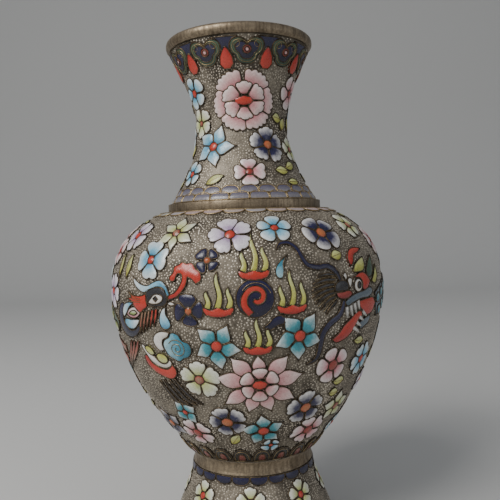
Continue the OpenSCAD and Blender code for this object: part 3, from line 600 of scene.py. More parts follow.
def ring_rule():
    """Copies at an even pitch round the vase, each with its own tone."""
    rule = Rule("ring_of", Count=10, Seed=5, Material=None)
    points = rule.node("GeometryNodePoints", Count=rule.input["Count"])
    index = rule.node("GeometryNodeInputIndex").outputs[0]
    turn = maths(rule.tree, "MULTIPLY", maths(rule.tree, "DIVIDE", index, rule.input["Count"]), 2 * math.pi)
    spin = rule.node("ShaderNodeCombineXYZ", Z=turn)
    copies = rule.node("GeometryNodeInstanceOnPoints", Points=points.outputs[0],
                       Instance=rule.input["Geometry"])
    rule.tree.links.new(spin.outputs[0], copies.inputs["Rotation"])
    tone = rule.node("FunctionNodeRandomValue", {"data_type": "FLOAT"})
    rule.tree.links.new(rule.input["Seed"], tone.inputs["Seed"])
    named = rule.node("GeometryNodeStoreNamedAttribute", {"data_type": "FLOAT", "domain": "INSTANCE"},
                      Geometry=copies.outputs[0], Name="tone", Value=tone.outputs[1])
    rule.finish(named.outputs[0])
    return rule


TURNED, WIRED, GRAINED, RINGED = turned_rule(), wire_rule(), grain_rule(), ring_rule()
print("rules:", [rule.tree.name for rule in (TURNED, WIRED, GRAINED, RINGED)])

# %% [markdown]
# ## Lines that a wire can follow
#
# The CAD outlines have few points, so they are rounded first: each stretch becomes a curve that leaves
# its two ends in the direction of their neighbours, and a true corner stays a corner. A blossom's petals
# are drawn anew inside their cells, because a real petal has a soft waist, a lobed or pointed tip, and a
# little swing.

# %% Smooth lines
CORNER = math.radians(42)


def without_straights(loop, slack=0.03):
    """Drops the points that lie on the straight line between their neighbours."""
    kept = list(loop)
    k = 0
    while len(kept) > 6 and k < len(kept):
        a, b, c = kept[k - 1], kept[k], kept[(k + 1) % len(kept)]
        span = c - a
        off = abs(span[0] * (b - a)[1] - span[1] * (b - a)[0]) / max(np.hypot(*span), 1e-9)
        if off < slack:
            kept.pop(k)
        else:
            k += 1
    return np.array(kept)


def rounded(loop, spacing=1.0, slack=0.03, corner=CORNER):
    """The loop as a smooth closed line with points about as far apart as the spacing."""
    points = without_straights(loop, slack)
    ahead, behind = np.roll(points, -1, 0) - points, points - np.roll(points, 1, 0)
    long_ahead = np.maximum(np.hypot(*ahead.T), 1e-9)[:, None]
    unit = ahead / long_ahead + behind / np.roll(long_ahead, 1, 0)
    both = (long_ahead * np.roll(long_ahead, 1, 0))[:, 0]
    turn = np.arccos(np.clip((ahead * behind).sum(1) / both, -1, 1))
    unit = unit / np.maximum(np.hypot(*unit.T), 1e-9)[:, None]
    line = []
    for k in range(len(points)):
        a, b = points[k], points[(k + 1) % len(points)]
        size = long_ahead[k, 0]
        leave = ahead[k] if turn[k] > corner else unit[k] * size
        arrive = ahead[k] if turn[(k + 1) % len(points)] > corner else unit[(k + 1) % len(points)] * size
        for t in np.arange(0, 1, 1 / max(1, round(size / spacing))):
            line.append((1 + 2 * t) * (1 - t) ** 2 * a + t * (1 - t) ** 2 * leave
                        + t * t * (3 - 2 * t) * b + t * t * (t - 1) * arrive)
    return np.array(line)


def swollen(loop, distance):
    """The same line, moved out by a distance."""
    along = np.roll(loop, -1, 0) - np.roll(loop, 1, 0)
    size = np.maximum(np.hypot(*along.T), 1e-9)[:, None]
    return loop + np.stack([along[:, 1], -along[:, 0]], 1) / size * distance


def through(points, steps=4):
    """An open smooth line through the points."""
    points = np.array(points, float)
    ends = np.concatenate([[2 * points[0] - points[1]], points, [2 * points[-1] - points[-2]]])
    line = []
    for a, b, c, d in zip(ends, ends[1:], ends[2:], ends[3:]):
        for t in np.arange(0, 1, 1 / steps):
            line.append(0.5 * (2 * b + (c - a) * t + (2 * a - 5 * b + 4 * c - d) * t * t
                               + (3 * b - a - 3 * c + d) * t ** 3))
    return np.array(line + [points[-1]])


def ribbon(middle_line, widths):
    """The outline of a band that follows a line with a width at each of its points."""
    line = through(np.column_stack([middle_line, widths]))
    along = np.gradient(line[:, :2], axis=0)
    side = np.stack([-along[:, 1], along[:, 0]], 1) / np.maximum(np.hypot(*along.T), 1e-9)[:, None]
    half = line[:, 2:] / 2
    return np.concatenate([line[:, :2] - side * half, (line[:, :2] + side * half)[::-1]])


SOFT_CORNER = math.radians(80)


def drawn_cell(places):
    """A cell drawn on the belly: (azimuth, height) outlines, or (azimuth, height, width) bands."""
    spots = np.array([(place[0], belly_wall.s_of(place[1])) for place in places])
    cell = Cell(belly_wall, *((spots.min(0) + spots.max(0)) / 2), [])
    line = cell.gather(spots[:, 0], spots[:, 1])
    if len(places[0]) == 3:
        line = ribbon(line, [place[2] for place in places])
    else:
        line = rounded(line, 0.95, 0.0, SOFT_CORNER)
    cell.loops = [line if area(line) > 0 else line[::-1]]
    return cell


# %% Petals
# Half of each petal's outline, from its base to its tip: share of its length, share of its greatest width
PETAL_HALVES = {
    "plum": ((0, 0.36), (0.22, 0.62), (0.48, 0.94), (0.70, 1.0), (0.89, 0.78), (0.99, 0.36)),
    "lobed": ((0, 0.36), (0.22, 0.62), (0.46, 0.93), (0.66, 1.02), (0.82, 0.95), (0.90, 0.72), (0.87, 0.54),
              (0.97, 0.40), (1.02, 0.15)),
    "notched": ((0, 0.36), (0.22, 0.62), (0.46, 0.93), (0.68, 1.02), (0.87, 0.90), (0.98, 0.58),
                (0.99, 0.28), (0.90, 0.0)),
    "pointed": ((0, 0.36), (0.16, 0.68), (0.32, 0.95), (0.44, 1.0), (0.58, 0.82), (0.72, 0.54), (0.86, 0.27),
                (0.98, 0.09), (1.08, 0.0)),
    "lotus": ((0, 0.30), (0.18, 0.60), (0.36, 0.90), (0.50, 1.0), (0.66, 0.86), (0.80, 0.54), (0.92, 0.20),
              (1.06, 0.0)),
    "peony": ((0, 0.44), (0.25, 0.70), (0.50, 0.96), (0.66, 1.03), (0.78, 0.98), (0.86, 0.82), (0.82, 0.66),
              (0.95, 0.52), (0.99, 0.34), (0.92, 0.18), (1.0, 0.07), (1.0, 0.0)),
    "leaf": ((0, 0.0), (0.12, 0.36), (0.30, 0.84), (0.50, 1.0), (0.70, 0.84), (0.88, 0.42), (1.0, 0.0)),
}


def petal_line(kind, inner, outer, half, swing, sector=None):
    """A petal's outline: along the petal, and across it. A sector keeps it clear of its neighbours."""
    side = np.array(PETAL_HALVES[kind])
    along, across = inner + (outer - inner) * side[:, 0], half * side[:, 1]
    if sector:
        across = np.minimum(across, np.maximum(along * math.tan(sector) - 0.3, 0.2))
        across[side[:, 1] == 0] = 0
    right = np.stack([along, -across], 1)
    left = np.stack([along, across], 1)[::-1]
    if across[-1] == 0:
        left = left[1:]
    if across[0] == 0:
        left = left[:-1]
    line = np.concatenate([right, left])
    share = (line[:, 0] - inner) / (outer - inner)
    line[:, 1] += swing * half * share ** 2
    return line


def turned_by(points, angle):
    c, s = math.cos(angle), math.sin(angle)
    return points @ np.array([[c, s], [-s, c]])


PETAL_CORNER = math.radians(58)


def petal_cell(cell, heart, kind, swing, count, start=None, beyond=0.5, fat=0.9, tint=None):
    """The petal redrawn about its CAD cell, as wide as its share of the blossom, from the heart outwards."""
    seen = heart.gather(*cell.spread(cell.loops[0]))
    middle = (seen.min(0) + seen.max(0)) / 2
    angle = math.atan2(middle[1], middle[0])
    flat = turned_by(seen, -angle)
    inner, outer = flat[:, 0].min() - 0.45 if start is None else start, flat[:, 0].max() + beyond
    widest = inner + 0.66 * (outer - inner)
    half = min(fat * widest * math.tan(min(math.pi / count, 0.9)) - 0.3, 0.72 * (outer - inner))
    outline = petal_line(kind, inner, outer, half, swing, min(math.pi / count, 0.9))
    line = rounded(turned_by(outline, angle), 0.9, 0.0, PETAL_CORNER)
    pale_from = tint or inner
    return Cell(heart.wall, heart.azimuth, heart.s, [line],
                lambda uv: (np.hypot(uv[:, 0], uv[:, 1]) - pale_from) / (outer - pale_from))


def leaf_cell(cell, swing):
    """A leaf redrawn along its CAD cell's longer way, with the line of its vein."""
    loop = cell.loops[0]
    _, _, ways = np.linalg.svd(loop - loop.mean(0))
    angle = math.atan2(ways[0, 1], ways[0, 0])
    flat = turned_by(loop, -angle)
    long, half = abs(flat[:, 0]).max() + 0.4, abs(flat[:, 1]).max() + 0.3
    line = rounded(turned_by(petal_line("leaf", -long, long, half, swing), angle), 0.9, 0.0)
    vein = np.linspace(-0.7 * long, 0.75 * long, 7)
    vein = turned_by(np.stack([vein, swing * half * ((vein + long) / (2 * long)) ** 2], 1), angle)
    return Cell(cell.wall, cell.azimuth, cell.s, [line]), vein


def nearest(cell, others):
    """The cell of another group that lies nearest on the wall."""
    gaps = [np.hypot(*other.gather(np.array([cell.azimuth]), np.array([cell.s]))[0]) for other in others]
    return others[int(np.argmin(gaps))]


# %% [markdown]
# ## Enamel pads
#
# A pad is a closed solid: a skirt that goes down into the ground, and a top that rises from the wire to a
# cushion. The top needs points inside its outline to curve at all, so a grid of points is laid inside it
# and joined by a Delaunay triangulation. Each point's height comes from its distance to the wire, which
# is how melted glass behaves: steep at the wire, flat in the middle.

# %% Pads
WIRE_HEIGHT = 0.68
PAD_EDGE = 0.72
PAD_FOOT = -0.25
EDGE_CLEARANCE = 0.5
# width in mm of the painted shade on the glass along the wire
CREASE_SHADE_WIDTH = 1.6


def gap_to(points, loops):
    """Distance from each point to the nearest of the lines."""
    best = np.full(len(points), 1e9)
    for loop in loops:
        a, b = loop[None], np.roll(loop, -1, 0)[None]
        step = b - a
        t = ((points[:, None] - a) * step).sum(2) / np.maximum((step ** 2).sum(2), 1e-12)
        foot = a + np.clip(t, 0, 1)[..., None] * step
        best = np.minimum(best, np.hypot(*np.moveaxis(points[:, None] - foot, 2, 0)).min(1))
    return best


def within(points, loops):
    held = inside(points, loops[0])
    for hole in loops[1:]:
        held &= ~inside(points, hole)
    return held


class Pads:
    """Many enamel pads, gathered into one mesh with a colour for each."""

    def __init__(self):
        self.points, self.faces, self.glass = [], [], []
        self.reach, self.rim, self.tone = [], [], []
        self.count = 0

    def lay(self, cell, glass, dome=0.7, reach="up", tone=0.5, lift=0.0, mesh_step=1.15, softness=1.2):
        """Adds one pad: its top, its skirt, and the three numbers that its colour is mixed from."""
        loops = cell.loops
        low, high = loops[0].min(0), loops[0].max(0)
        grid = np.stack(np.meshgrid(np.arange(low[0], high[0], mesh_step),
                                    np.arange(low[1], high[1], mesh_step * 0.87)), -1)
        grid[1::2, :, 0] += mesh_step / 2
        grid = grid.reshape(-1, 2)
        grid = grid[within(grid, loops)]
        if len(grid):
            grid = grid[gap_to(grid, loops) > EDGE_CLEARANCE]
        rings = np.concatenate([*loops, grid])
        edges, first = [], 0
        for loop in loops:
            edges += [(first + k, first + (k + 1) % len(loop)) for k in range(len(loop))]
            first += len(loop)
        found = geometry.delaunay_2d_cdt([Vector(p) for p in rings], edges, [], 0, 1e-5)
        flat = np.array([tuple(p) for p in found[0]])
        tris = np.array(found[2])
        tris = tris[within(flat[tris].mean(1), loops)]
        used, tris = np.unique(tris, return_inverse=True)
        flat, tris = flat[used], tris.reshape(-1, 3)
        deep = gap_to(flat, loops)
        height = PAD_EDGE + lift + dome * (1 - np.exp(-deep / softness))
        span = np.maximum(flat.max(0) - flat.min(0), 1e-6)
        share = (flat - flat.min(0)) / span
        if cell.reach:
            toward = np.clip(cell.reach(flat), 0, 1)
        else:
            toward = {"up": share[:, 1], "down": 1 - share[:, 1], "left": 1 - share[:, 0],
                      "right": share[:, 0], "middle": 1 - np.exp(-deep / 1.2)}[reach]
        azimuth, s = cell.spread(flat)
        start = sum(len(block) for block in self.points)
        self.points += [cell.wall.point(azimuth, s, height), cell.wall.point(azimuth, s, PAD_FOOT)]
        n = len(flat)
        directed = {(a, b) for tri in tris for a, b in zip(tri, np.roll(tri, -1))}
        rim_edges = [(a, b) for a, b in directed if (b, a) not in directed]
        rim_edges.sort()
        faces = [tuple(tri + start) for tri in tris] + [tuple(tri[::-1] + start + n) for tri in tris]
        faces += [(b + start, a + start, a + start + n, b + start + n) for a, b in rim_edges]
        self.faces += faces
        self.glass += [glass] * len(faces)
        self.reach += [toward, toward]
        # rim is 0 at the wire and 1 further in; it masks the painted shade along the wire
        self.rim += [np.clip(deep / CREASE_SHADE_WIDTH, 0, 1), np.zeros(n)]
        self.tone += [np.full(2 * n, tone)]
        self.count += 1

    def mesh(self, name, with_tone=True):
        made = bpy.data.meshes.new(name)
        points = np.concatenate(self.points)
        made.from_pydata(points.tolist(), [], [tuple(int(k) for k in face) for face in self.faces])
        rows = [("reach", self.reach), ("rim", self.rim)] + ([("tone", self.tone)] if with_tone else [])
        for key, values in rows:
            made.attributes.new(key, "FLOAT", "POINT").data.foreach_set("value", np.concatenate(values))
        names = sorted(set(self.glass))
        for key in names:
            made.materials.append(GLASS[key])
        made.polygons.foreach_set("material_index", [names.index(key) for key in self.glass])
        made.polygons.foreach_set("use_smooth", [True] * len(made.polygons))
        made.set_sharp_from_angle(angle=math.radians(50))
        made.update()
        return made

# %% [markdown]
# ## Turned metal
#
# The wall sections, the collars, the floor and the two end rings were all turned or spun, so each is one
# cross-section and one turn. The cross-section is cut out of the CAD node by a half plane through the
# axis, its long curves are smoothed, its sharp corners are eased as a file eases them, and the `turned`
# rule does the rest.

# %% Cross-sections
CUT_AZIMUTH = math.radians(41.3)
EASE = 0.45


def section_of(node):
    """The closed lines, radius and height in mm, where a half plane through the axis cuts a CAD node."""
    points, faces = triangles(node)
    way = np.array([math.sin(CUT_AZIMUTH), -math.cos(CUT_AZIMUTH)])
    off = points[:, 0] * way[1] - points[:, 1] * way[0]
    out = points[:, 0] * way[0] + points[:, 1] * way[1]
    links = {}
    for face in faces:
        ends = []
        for a, b in zip(face, np.roll(face, -1)):
            if (off[a] > 0) != (off[b] > 0):
                t = off[a] / (off[a] - off[b])
                key = (min(a, b), max(a, b))
                height = points[a, 2] + (points[b, 2] - points[a, 2]) * t
                ends.append((key, (out[a] + (out[b] - out[a]) * t, height)))
        if len(ends) == 2 and ends[0][1][0] > 0:
            for (here, place), (there, _) in (ends, ends[::-1]):
                links.setdefault(here, [place, []])[1].append(there)
    loops = []
    while links:
        here = next(iter(links))
        loop = []
        while here in links:
            place, onward = links.pop(here)
            loop.append(place)
            here = next((key for key in onward if key in links), None)
        loops.append(np.array(loop))
    return loops


def eased(loop, radius=EASE):
    """The closed line with its corners cut back a little."""
    points = without_straights(loop, 0.004)
    line = []
    for k in range(len(points)):
        a, b, c = points[k - 1], points[k], points[(k + 1) % len(points)]
        before, after = a - b, c - b
        long_before, long_after = np.hypot(*before), np.hypot(*after)
        bend = math.acos(np.clip(-(before @ after) / (long_before * long_after), -1, 1))
        if bend < CORNER:
            line.append(b)
            continue
        cut = min(radius, 0.3 * long_before, 0.3 * long_after)
        start, end = b + before / long_before * cut, b + after / long_after * cut
        line += [start, b * 0.5 + (start + end) * 0.25, end]
    return np.array(line)


def turn_metal(node, material, spacing, turns, inside=None):
    """One turned piece. A wall that shows its inner side gets the inside's finish there."""
    lines = [eased(rounded(loop, spacing, 0.004)) for loop in section_of(node) if len(loop) > 3]
    made = []
    for k, line in enumerate(lines):
        profile = [(max(r, 0.0) * MM, 0.0, z * MM) for r, z in np.concatenate([line, line[:1]])]
        made.append(TURNED.run(line_mesh(node, [profile], False), f"{node}_turned_{k}", Turns=turns,
                               Material=material))
    piece = joined("turned_" + node, made)
    work = bmesh.new()
    work.from_mesh(piece.data)
    bmesh.ops.recalc_face_normals(work, faces=work.faces)
    for face in work.faces:
        face.smooth = True
        middle = face.calc_center_median()
        if inside and face.normal.x * middle.x + face.normal.y * middle.y < 0:
            face.material_index = 1
    work.to_mesh(piece.data)
    work.free()
    if inside:
        piece.data.materials.append(inside)
    piece.data.set_sharp_from_angle(angle=math.radians(40))
    return piece


def joined(name, parts):
    """Several plain objects as one."""
    work = bmesh.new()
    finishes = []
    for part in parts:
        first = len(work.faces)
        work.from_mesh(part.data)
        work.faces.ensure_lookup_table()
        own = list(part.data.materials)
        finishes += [finish for finish in own if finish not in finishes]
        for face in work.faces[first:]:
            face.material_index = finishes.index(own[face.material_index])
    made = parts[0].data.copy()
    made.materials.clear()
    for finish in finishes:
        made.materials.append(finish)
    work.to_mesh(made)
    work.free()
    for part in parts:
        bpy.data.objects.remove(part)
    return put(made, name)


SLOT = {part["node"]: part["material_slot"] for part in frame["record"]["subparts"]}


def keep(piece, slot, *replaced):
    """Attaches a finished piece to the vase and hides the CAD nodes that it stands for; the slot is not
    used.
    """
    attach(piece, "root")
    if replaced:
        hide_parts(*replaced)
    return piece


# %% Walls, floor and rings
TURNS = 192
for node in METAL:
    shell = node in SHELLS
    finish = GROUND if shell else BRASS
    piece = turn_metal(node, finish, 1.3 if shell else 0.8, TURNS, INSIDE if shell else None)
    keep(piece, SLOT[node], node)
    print(piece.name, len(piece.data.polygons), "faces")

# %% [markdown]
# ## Dressing the cells
#
# Each node of cells says what it is: a family of blossom petals, leaves, or free shapes of a motif.
# Petals look for the heart they grow from, so that their tint runs from the heart outwards. A border is
# drawn once and then repeated by the `ring_of` rule, with a new tone each time.

# %% What each node of cells is
PETALS = {
    "neck_peony_petals": ("lotus", "lobed"), "neck_sky_petals": ("sky", "notched"),
    "neck_cream_petals": ("cream", "lobed"), "neck_navy_petals": ("navy_white", "lobed"),
    "neck_pink_petals": ("pink", "notched"), "body_sky_petals": ("sky", "notched"),
    "body_cream_petals": ("cream", "lobed"), "body_lilac_petals": ("lilac", "lobed"),
    "body_navy_petals": ("navy_white", "lobed"), "body_pink_petals": ("pink", "notched"),
    "body_turquoise_petals": ("turquoise", "pointed"), "lotus_petals": ("lotus", "lotus"),
}
HEART_OF_FAMILY = {"navy": "orange", "cream": "rust", "pink": "dark_red"}
FREE = {
    "pearl_disc": ("navy", "up", 0.5), "pearl_swirl": ("red", "up", 0.6),
    "flame_bases": ("red", "up", 0.8), "flame_tongues": ("leaf", "up", 0.6),
    "red_fungus": ("red", "up", 0.8), "cloud_crests": ("ivory", "up", 1.0),
    "cloud_curls": ("spiral_blue", "left", 1.0), "teal_drops": ("spiral_blue", "up", 0.6),
    "phoenix_crest": ("sky", "left", 0.8), "phoenix_face": ("red", "up", 0.6),
    "phoenix_eye": ("ivory", "up", 0.7), "phoenix_beak": ("sky", "up", 0.8),
    "phoenix_beard": ("rust", "up", 0.5), "phoenix_scales": ("scale_green", "down", 0.8),
    "phoenix_plumes": ("rust", "down", 0.7), "dark_plumes": ("black", "up", 0.5),
    "dragon_whiskers": ("navy", "up", 0.8), "dragon_nose": ("black", "up", 0.9),
    "dragon_ivory": ("ivory", "up", 0.6), "dragon_eye": ("ivory", "up", 0.6),
    "dragon_flesh": ("red", "up", 0.8), "dragon_jaws": ("slate", "up", 0.8),
    "dragon_scales": ("scale_blue", "up", 0.8),
}
BORDERS = {
    "ruyi_ground": ("navy", "up", 0.15), "ruyi_clouds": ("green", "up", 0.35),
    "ruyi_hearts": ("navy", "up", 0.5), "ruyi_pearls": ("pink", "middle", 0.8),
    "red_drops": ("red", "down", 0.8),
    "neck_scales": ("violet_scale", "up", 0.45), "shoulder_lappets": ("lappet", "up", 0.35),
    "lower_lappets": ("maroon", "up", 0.4), "foot_scallops": ("navy", "up", 0.4),
    "foot_blossom_petals": ("cream", "petal", 0.8), "foot_blossom_hearts": ("red", "middle", 0.9),
}
chance = np.random.default_rng(11)
lines = {"neck": [], "belly_front": [], "belly_back": [], "foot": []}
fine_lines = {key: [] for key in lines}


def side_of(cell):
    """Which group of wires a cell's wires belong to."""
    if cell.wall is belly_wall:
        return "belly_front" if abs(from_front(cell.azimuth)) < 90 else "belly_back"
    return "neck" if cell.wall is neck_wall else "foot"


def laid(cell, loop, height=WIRE_HEIGHT):
    return cell.wall.point(*cell.spread(loop), height)


def wire_round(cell, lift=0.0):
    lines[side_of(cell)].extend(laid(cell, loop, WIRE_HEIGHT + lift) for loop in cell.loops)


def fine_wire(cell, line, height):
    """A thin gilt wire that lies on a pad."""
    fine_lines[side_of(cell)].append(laid(cell, np.array(line, float), height))


def spiral(middle, start, end, turns, first=0.0, steps=22):
    """Points of a spiral that winds in from one radius to another."""
    t = np.linspace(0, 1, steps)
    angle = first + 2 * math.pi * turns * t
    radius = start + (end - start) * t
    return np.stack([middle[0] + radius * np.cos(angle), middle[1] + radius * np.sin(angle)], 1)


# %% Blossoms
# A double blossom has an under ring and an upper ring. The first number is the reach that parts them.
# Then, for each ring: petal form, start from the heart's middle, how much longer, fatness, and where the
# pale tint starts
DOUBLE = {
    "neck_peony_petals": (14.6, ("peony", 7.5, 1.0, 0.95, 12.2), ("lobed", 4.6, 1.0, 0.95, None)),
    "lotus_petals": (11.9, ("lotus", 4.0, 2.2, 0.88, 9.5), ("plum", 4.6, 1.0, 0.95, None)),
}
WIDE_HEART = 8.5
UPPER_LIFT = 0.75
SMALL_REACH, LARGE_REACH = 9.6, 12.6
PLUM_SHARE, POINTED_SHARE = 0.3, 0.45
family_of_heart = {}


def style_of(node, glass, form, heart, reach):
    """A single blossom's glass, the form of its petals, and their swing."""
    swing = float(chance.uniform(-0.3, 0.3))
    soft = form in ("notched", "lobed")
    if "navy" in node and reach < SMALL_REACH:
        glass, form = "navy", "plum"
    if node == "neck_navy_petals" and min(abs(heart.azimuth % 360 - at) for at in (30, 180)) > 9:
        glass = "sky"
    if soft and chance.random() < PLUM_SHARE:
        form = "plum"
    if node == "neck_sky_petals" and reach > LARGE_REACH:
        form, swing = "pointed", 0.7
    elif node == "body_turquoise_petals":
        swing = math.copysign(0.55, swing)
    elif glass in ("cream", "navy_white") and heart.wall is belly_wall and chance.random() < POINTED_SHARE:
        form, swing = "pointed", 0.25
    return glass, form, swing


def single_petal(cell, heart, form, swing, count):
    """One petal of a single blossom, each a little different."""
    longer, fat = float(chance.uniform(0.0, 1.2)), float(chance.uniform(0.76, 0.90))
    if form == "pointed":
        longer, fat = longer + 2.0, 0.64
    lean = swing + float(chance.uniform(-0.06, 0.06))
    return petal_cell(cell, heart, form, lean, count, None, longer, fat)


def double_petal(node, cell, heart, reach, reaches):
    """One petal of a double blossom, and how high it lies."""
    limit, under, upper = DOUBLE[node]
    above = reach < limit
    form, begin, longer, fat, tint = upper if above else under
    count = sum((other < limit) == above for other in reaches)
    lean = float(chance.uniform(-0.12, 0.3))
    return petal_cell(cell, heart, form, lean, count, begin, longer, fat, tint), UPPER_LIFT if above else 0.0


def blossoms_of(node):
    """The petals of a node, gathered under the heart that each grows from."""
    hearts = cells["neck_blossom_hearts" if node.startswith("neck") else "body_blossom_hearts"]
    wide = [heart for heart in hearts if np.ptp(heart.loops[0][:, 0]) > WIDE_HEART]
    own_hearts = wide if node in DOUBLE else [heart for heart in hearts if heart not in wide]
    grown = {}
    for cell in cells[node]:
        heart = nearest(cell, own_hearts)
        grown.setdefault(id(heart), (heart, []))[1].append(cell)
    return grown.values()


for node, (glass, kind) in PETALS.items():
    pads = Pads()
    for heart, own in blossoms_of(node):
        reaches = [np.hypot(*heart.gather(*cell.spread(cell.loops[0])).T).max() for cell in own]
        colour, form, swing = style_of(node, glass, kind, heart, max(reaches))
        family_of_heart[id(heart)] = "lotus" if node in DOUBLE else colour.split("_")[0]
        for cell, reach in zip(own, reaches):
            if node in DOUBLE:
                petal, lift = double_petal(node, cell, heart, reach, reaches)
            else:
                petal, lift = single_petal(cell, heart, form, swing, len(own)), 0.0
            pads.lay(petal, colour, 0.85, tone=float(chance.random()), lift=lift)
            wire_round(petal, lift)
    piece = put(pads.mesh(node + "_enamel"), node + "_enamel")
    keep(piece, SLOT[node], node)
    print(piece.name, pads.count, "pads,", len(piece.data.polygons), "faces")

# %% Hearts
for node in ("neck_blossom_hearts", "body_blossom_hearts"):
    pads = Pads()
    for heart in cells[node]:
        glass = HEART_OF_FAMILY.get(family_of_heart.get(id(heart), ""), "red")
        bead = Cell(heart.wall, heart.azimuth, heart.s, [rounded(heart.loops[0], 0.9) * 1.08])
        lift = 0.8 if family_of_heart.get(id(heart)) == "lotus" else 0.15
        pads.lay(bead, glass, 1.0, "middle", float(chance.random()), lift, 1.0, 1.0)
        wire_round(bead, lift)
    keep(put(pads.mesh(node + "_enamel"), node + "_enamel"), SLOT[node], node)

# %% Leaves
for node in ("neck_leaves", "body_leaves"):
    pads = Pads()
    for cell in cells[node]:
        leaf, vein = leaf_cell(cell, float(chance.uniform(-0.5, 0.5)))
        pads.lay(leaf, "leaf", 0.6, "up", float(chance.random()))
        wire_round(leaf)
        fine_wire(leaf, vein, 1.18)
    keep(put(pads.mesh(node + "_enamel"), node + "_enamel"), SLOT[node], node)

# %% [markdown]
# ## The two beasts
#
# The phoenix and the dragon face each other over the pearl. Their heads are too small for plain cells, so
# they are drawn here as places on the wall: (azimuth, height) for an outline, and (azimuth, height,
# width) for a band that follows a line. A lift lays a pad over another, as an eye lies in its socket.

# %% Phoenix
def oval(azimuth, height, half_azimuth, half_height, steps):
    """Places round an oval."""
    return tuple((azimuth + half_azimuth * math.cos(a), height + half_height * math.sin(a))
                 for a in np.linspace(0, 2 * math.pi, steps, endpoint=False))


# Each shape: glass, cushion, lift, the side of its pale tip, places
DRAWN = {
    "phoenix_crest": [
        ("sky", 0.7, 0, "left", (
            (-48.2, 196.8), (-45.5, 194.2), (-42.6, 192.2), (-38.9, 191.7), (-35.8, 193.9),
            (-32.8, 194.9), (-30, 191.6), (-28.4, 186.4), (-29.6, 185.6), (-31, 189.9), (-34.3, 191.1),
            (-37.4, 189.4), (-40.8, 187.4), (-44.8, 189.8), (-47.2, 193.2))),
        ("sky", 0.8, 0, "up", (
            (-30.4, 179.2), (-31.6, 178.2), (-33.1, 174.6), (-33.7, 169.6), (-32.6, 166), (-30.4, 165.6),
            (-28.8, 167.8), (-29.4, 171.4), (-30.6, 174.6))),
        ("ivory", 0.4, 0, "up", (
            (-29.6, 181.2), (-28.4, 182.4), (-25.6, 180.8), (-28.2, 180.1)))],
    "phoenix_face": [
        ("red", 0.6, 0, "up", (
            (-39.5, 187), (-42, 185.4), (-46, 184.9), (-51.4, 187.2), (-48.6, 184), (-52.6, 182.6),
            (-48.4, 181), (-46.8, 177.8), (-43.6, 174.6), (-41.6, 176.8), (-39.4, 179), (-39.9, 183)))],
    "phoenix_eye": [
        ("black", 0.5, 0, "up", (
            (-39.9, 188.2), (-37.6, 189.6), (-35.1, 190.6), (-31.6, 189.9), (-29.6, 185.4), (-30, 181),
            (-31.8, 179.4), (-35, 179.2), (-38.6, 180), (-39.6, 183.4))),
        ("ivory", 0.5, 0.5, "up", (
            (-38.6, 181.3), (-37, 183.8), (-35.4, 186.3), (-33, 186.6), (-31.3, 184.6), (-31.9, 182.4),
            (-33.8, 180.9), (-36.4, 180.6))),
        ("black", 0.4, 0.95, "up", (
            (-35.7, 183.8), (-34.5, 185.5), (-33.3, 183.8), (-34.5, 182.1)))],
    "phoenix_beak": [
        ("navy", 0.4, 0, "up", (
            (-56.4, 179.6), (-60, 176), (-61.8, 168), (-60, 160.4), (-55, 157.2), (-49, 159),
            (-44.6, 164.6), (-45.4, 166.4), (-49.6, 162.6), (-53.8, 162.6), (-56.6, 166.4), (-57.2, 171),
            (-56.4, 175.6), (-54.6, 178.8))),
        ("sky", 0.7, 0, "left", (
            (-56.4, 175.4), (-54.4, 178.8), (-50, 180.5), (-47.2, 180.4), (-51, 177.2), (-53.6, 173.2),
            (-55.8, 170.4), (-56.8, 172))),
        ("pink", 0.5, 0, "up", (
            (-53.4, 172.6), (-50.6, 176.4), (-46.4, 177.6), (-43.6, 174.4), (-46, 171.4), (-50.4, 170.6))),
        ("scale_green", 0.4, 0.5, "up", (
            (-51.4, 173), (-49.4, 175), (-46.6, 175.6), (-45.2, 174.2), (-47.4, 172.6))),
        ("sky", 0.7, 0, "right", (
            (-55.6, 168.4), (-50, 169.4), (-44.4, 170.2), (-46, 167), (-49.4, 163.6), (-53.6, 163.6),
            (-55.8, 166)))],
    "phoenix_beard": [("red" if k < 2 else "rust", 0.4, 0, "up",
                       ((-34.8 - 1.9 * k, 177.6 - 0.7 * k, 1.7), (-35.6 - 2.1 * k, 172.6 - 1.1 * k, 1.9),
                        (-36.9 - 2.2 * k, 166.8 - 1.5 * k, 0.7))) for k in range(5)],
    "phoenix_scales": [
        ("leaf", 0.6, 0.3, "down", (
            (-44.6, 152.2), (-42.8, 153.8), (-40.4, 152), (-39.4, 148.8), (-41.4, 147.9), (-43.6, 149.6))),
        ("leaf", 0.6, 0.3, "down", (
            (-38.8, 148.2), (-36.8, 149.7), (-33.4, 147.9), (-33.2, 144.8), (-35.6, 143.4), (-38, 144.9))),
        ("ivory", 0.5, 0, "up", (
            (-47.2, 154.4), (-45, 153.6), (-43.4, 149), (-40.2, 146.8), (-37.8, 143.4), (-34.8, 143),
            (-32.3, 146), (-31.6, 143.6), (-34.6, 140.2), (-38.4, 140.4), (-42.4, 143.2), (-45, 148)))],
    "phoenix_plumes": [
        ("red", 0.7, 0, "right", (
            (-46.8, 146), (-45.2, 147.2), (-42.8, 142.6), (-38.6, 139.7), (-34.4, 139.5), (-31.6, 142.6),
            (-30.4, 139.6), (-31, 135.6), (-33.6, 133), (-38, 133.8), (-42, 135.8), (-45.8, 140.4)))]
        + [("rust", 0.5, 0, "down", (
            (-48.6 - 3 * k, 155.4 - 0.6 * k, 1.6), (-52 - 3.4 * k, 149 - 1.6 * k, 2.8),
            (-57 - 4 * k, 142.4 - 2.6 * k, 2.2), (-62 - 4 * k, 138 - 3 * k, 0.8))) for k in range(3)],
    "dark_plumes": [("black", 0.4, 0, "up",
                     ((-32.8 - 3 * k, 132.6 - 0.7 * k, 1.2), (-30.2 - 3 * k, 126.4 - 1.2 * k, 2.2),
                      (-26.4 - 3.2 * k, 120 - 1.2 * k, 2.0), (-21.8 - 3.4 * k, 116.4 - 0.8 * k, 0.7)))
                    for k in range(4)],
}
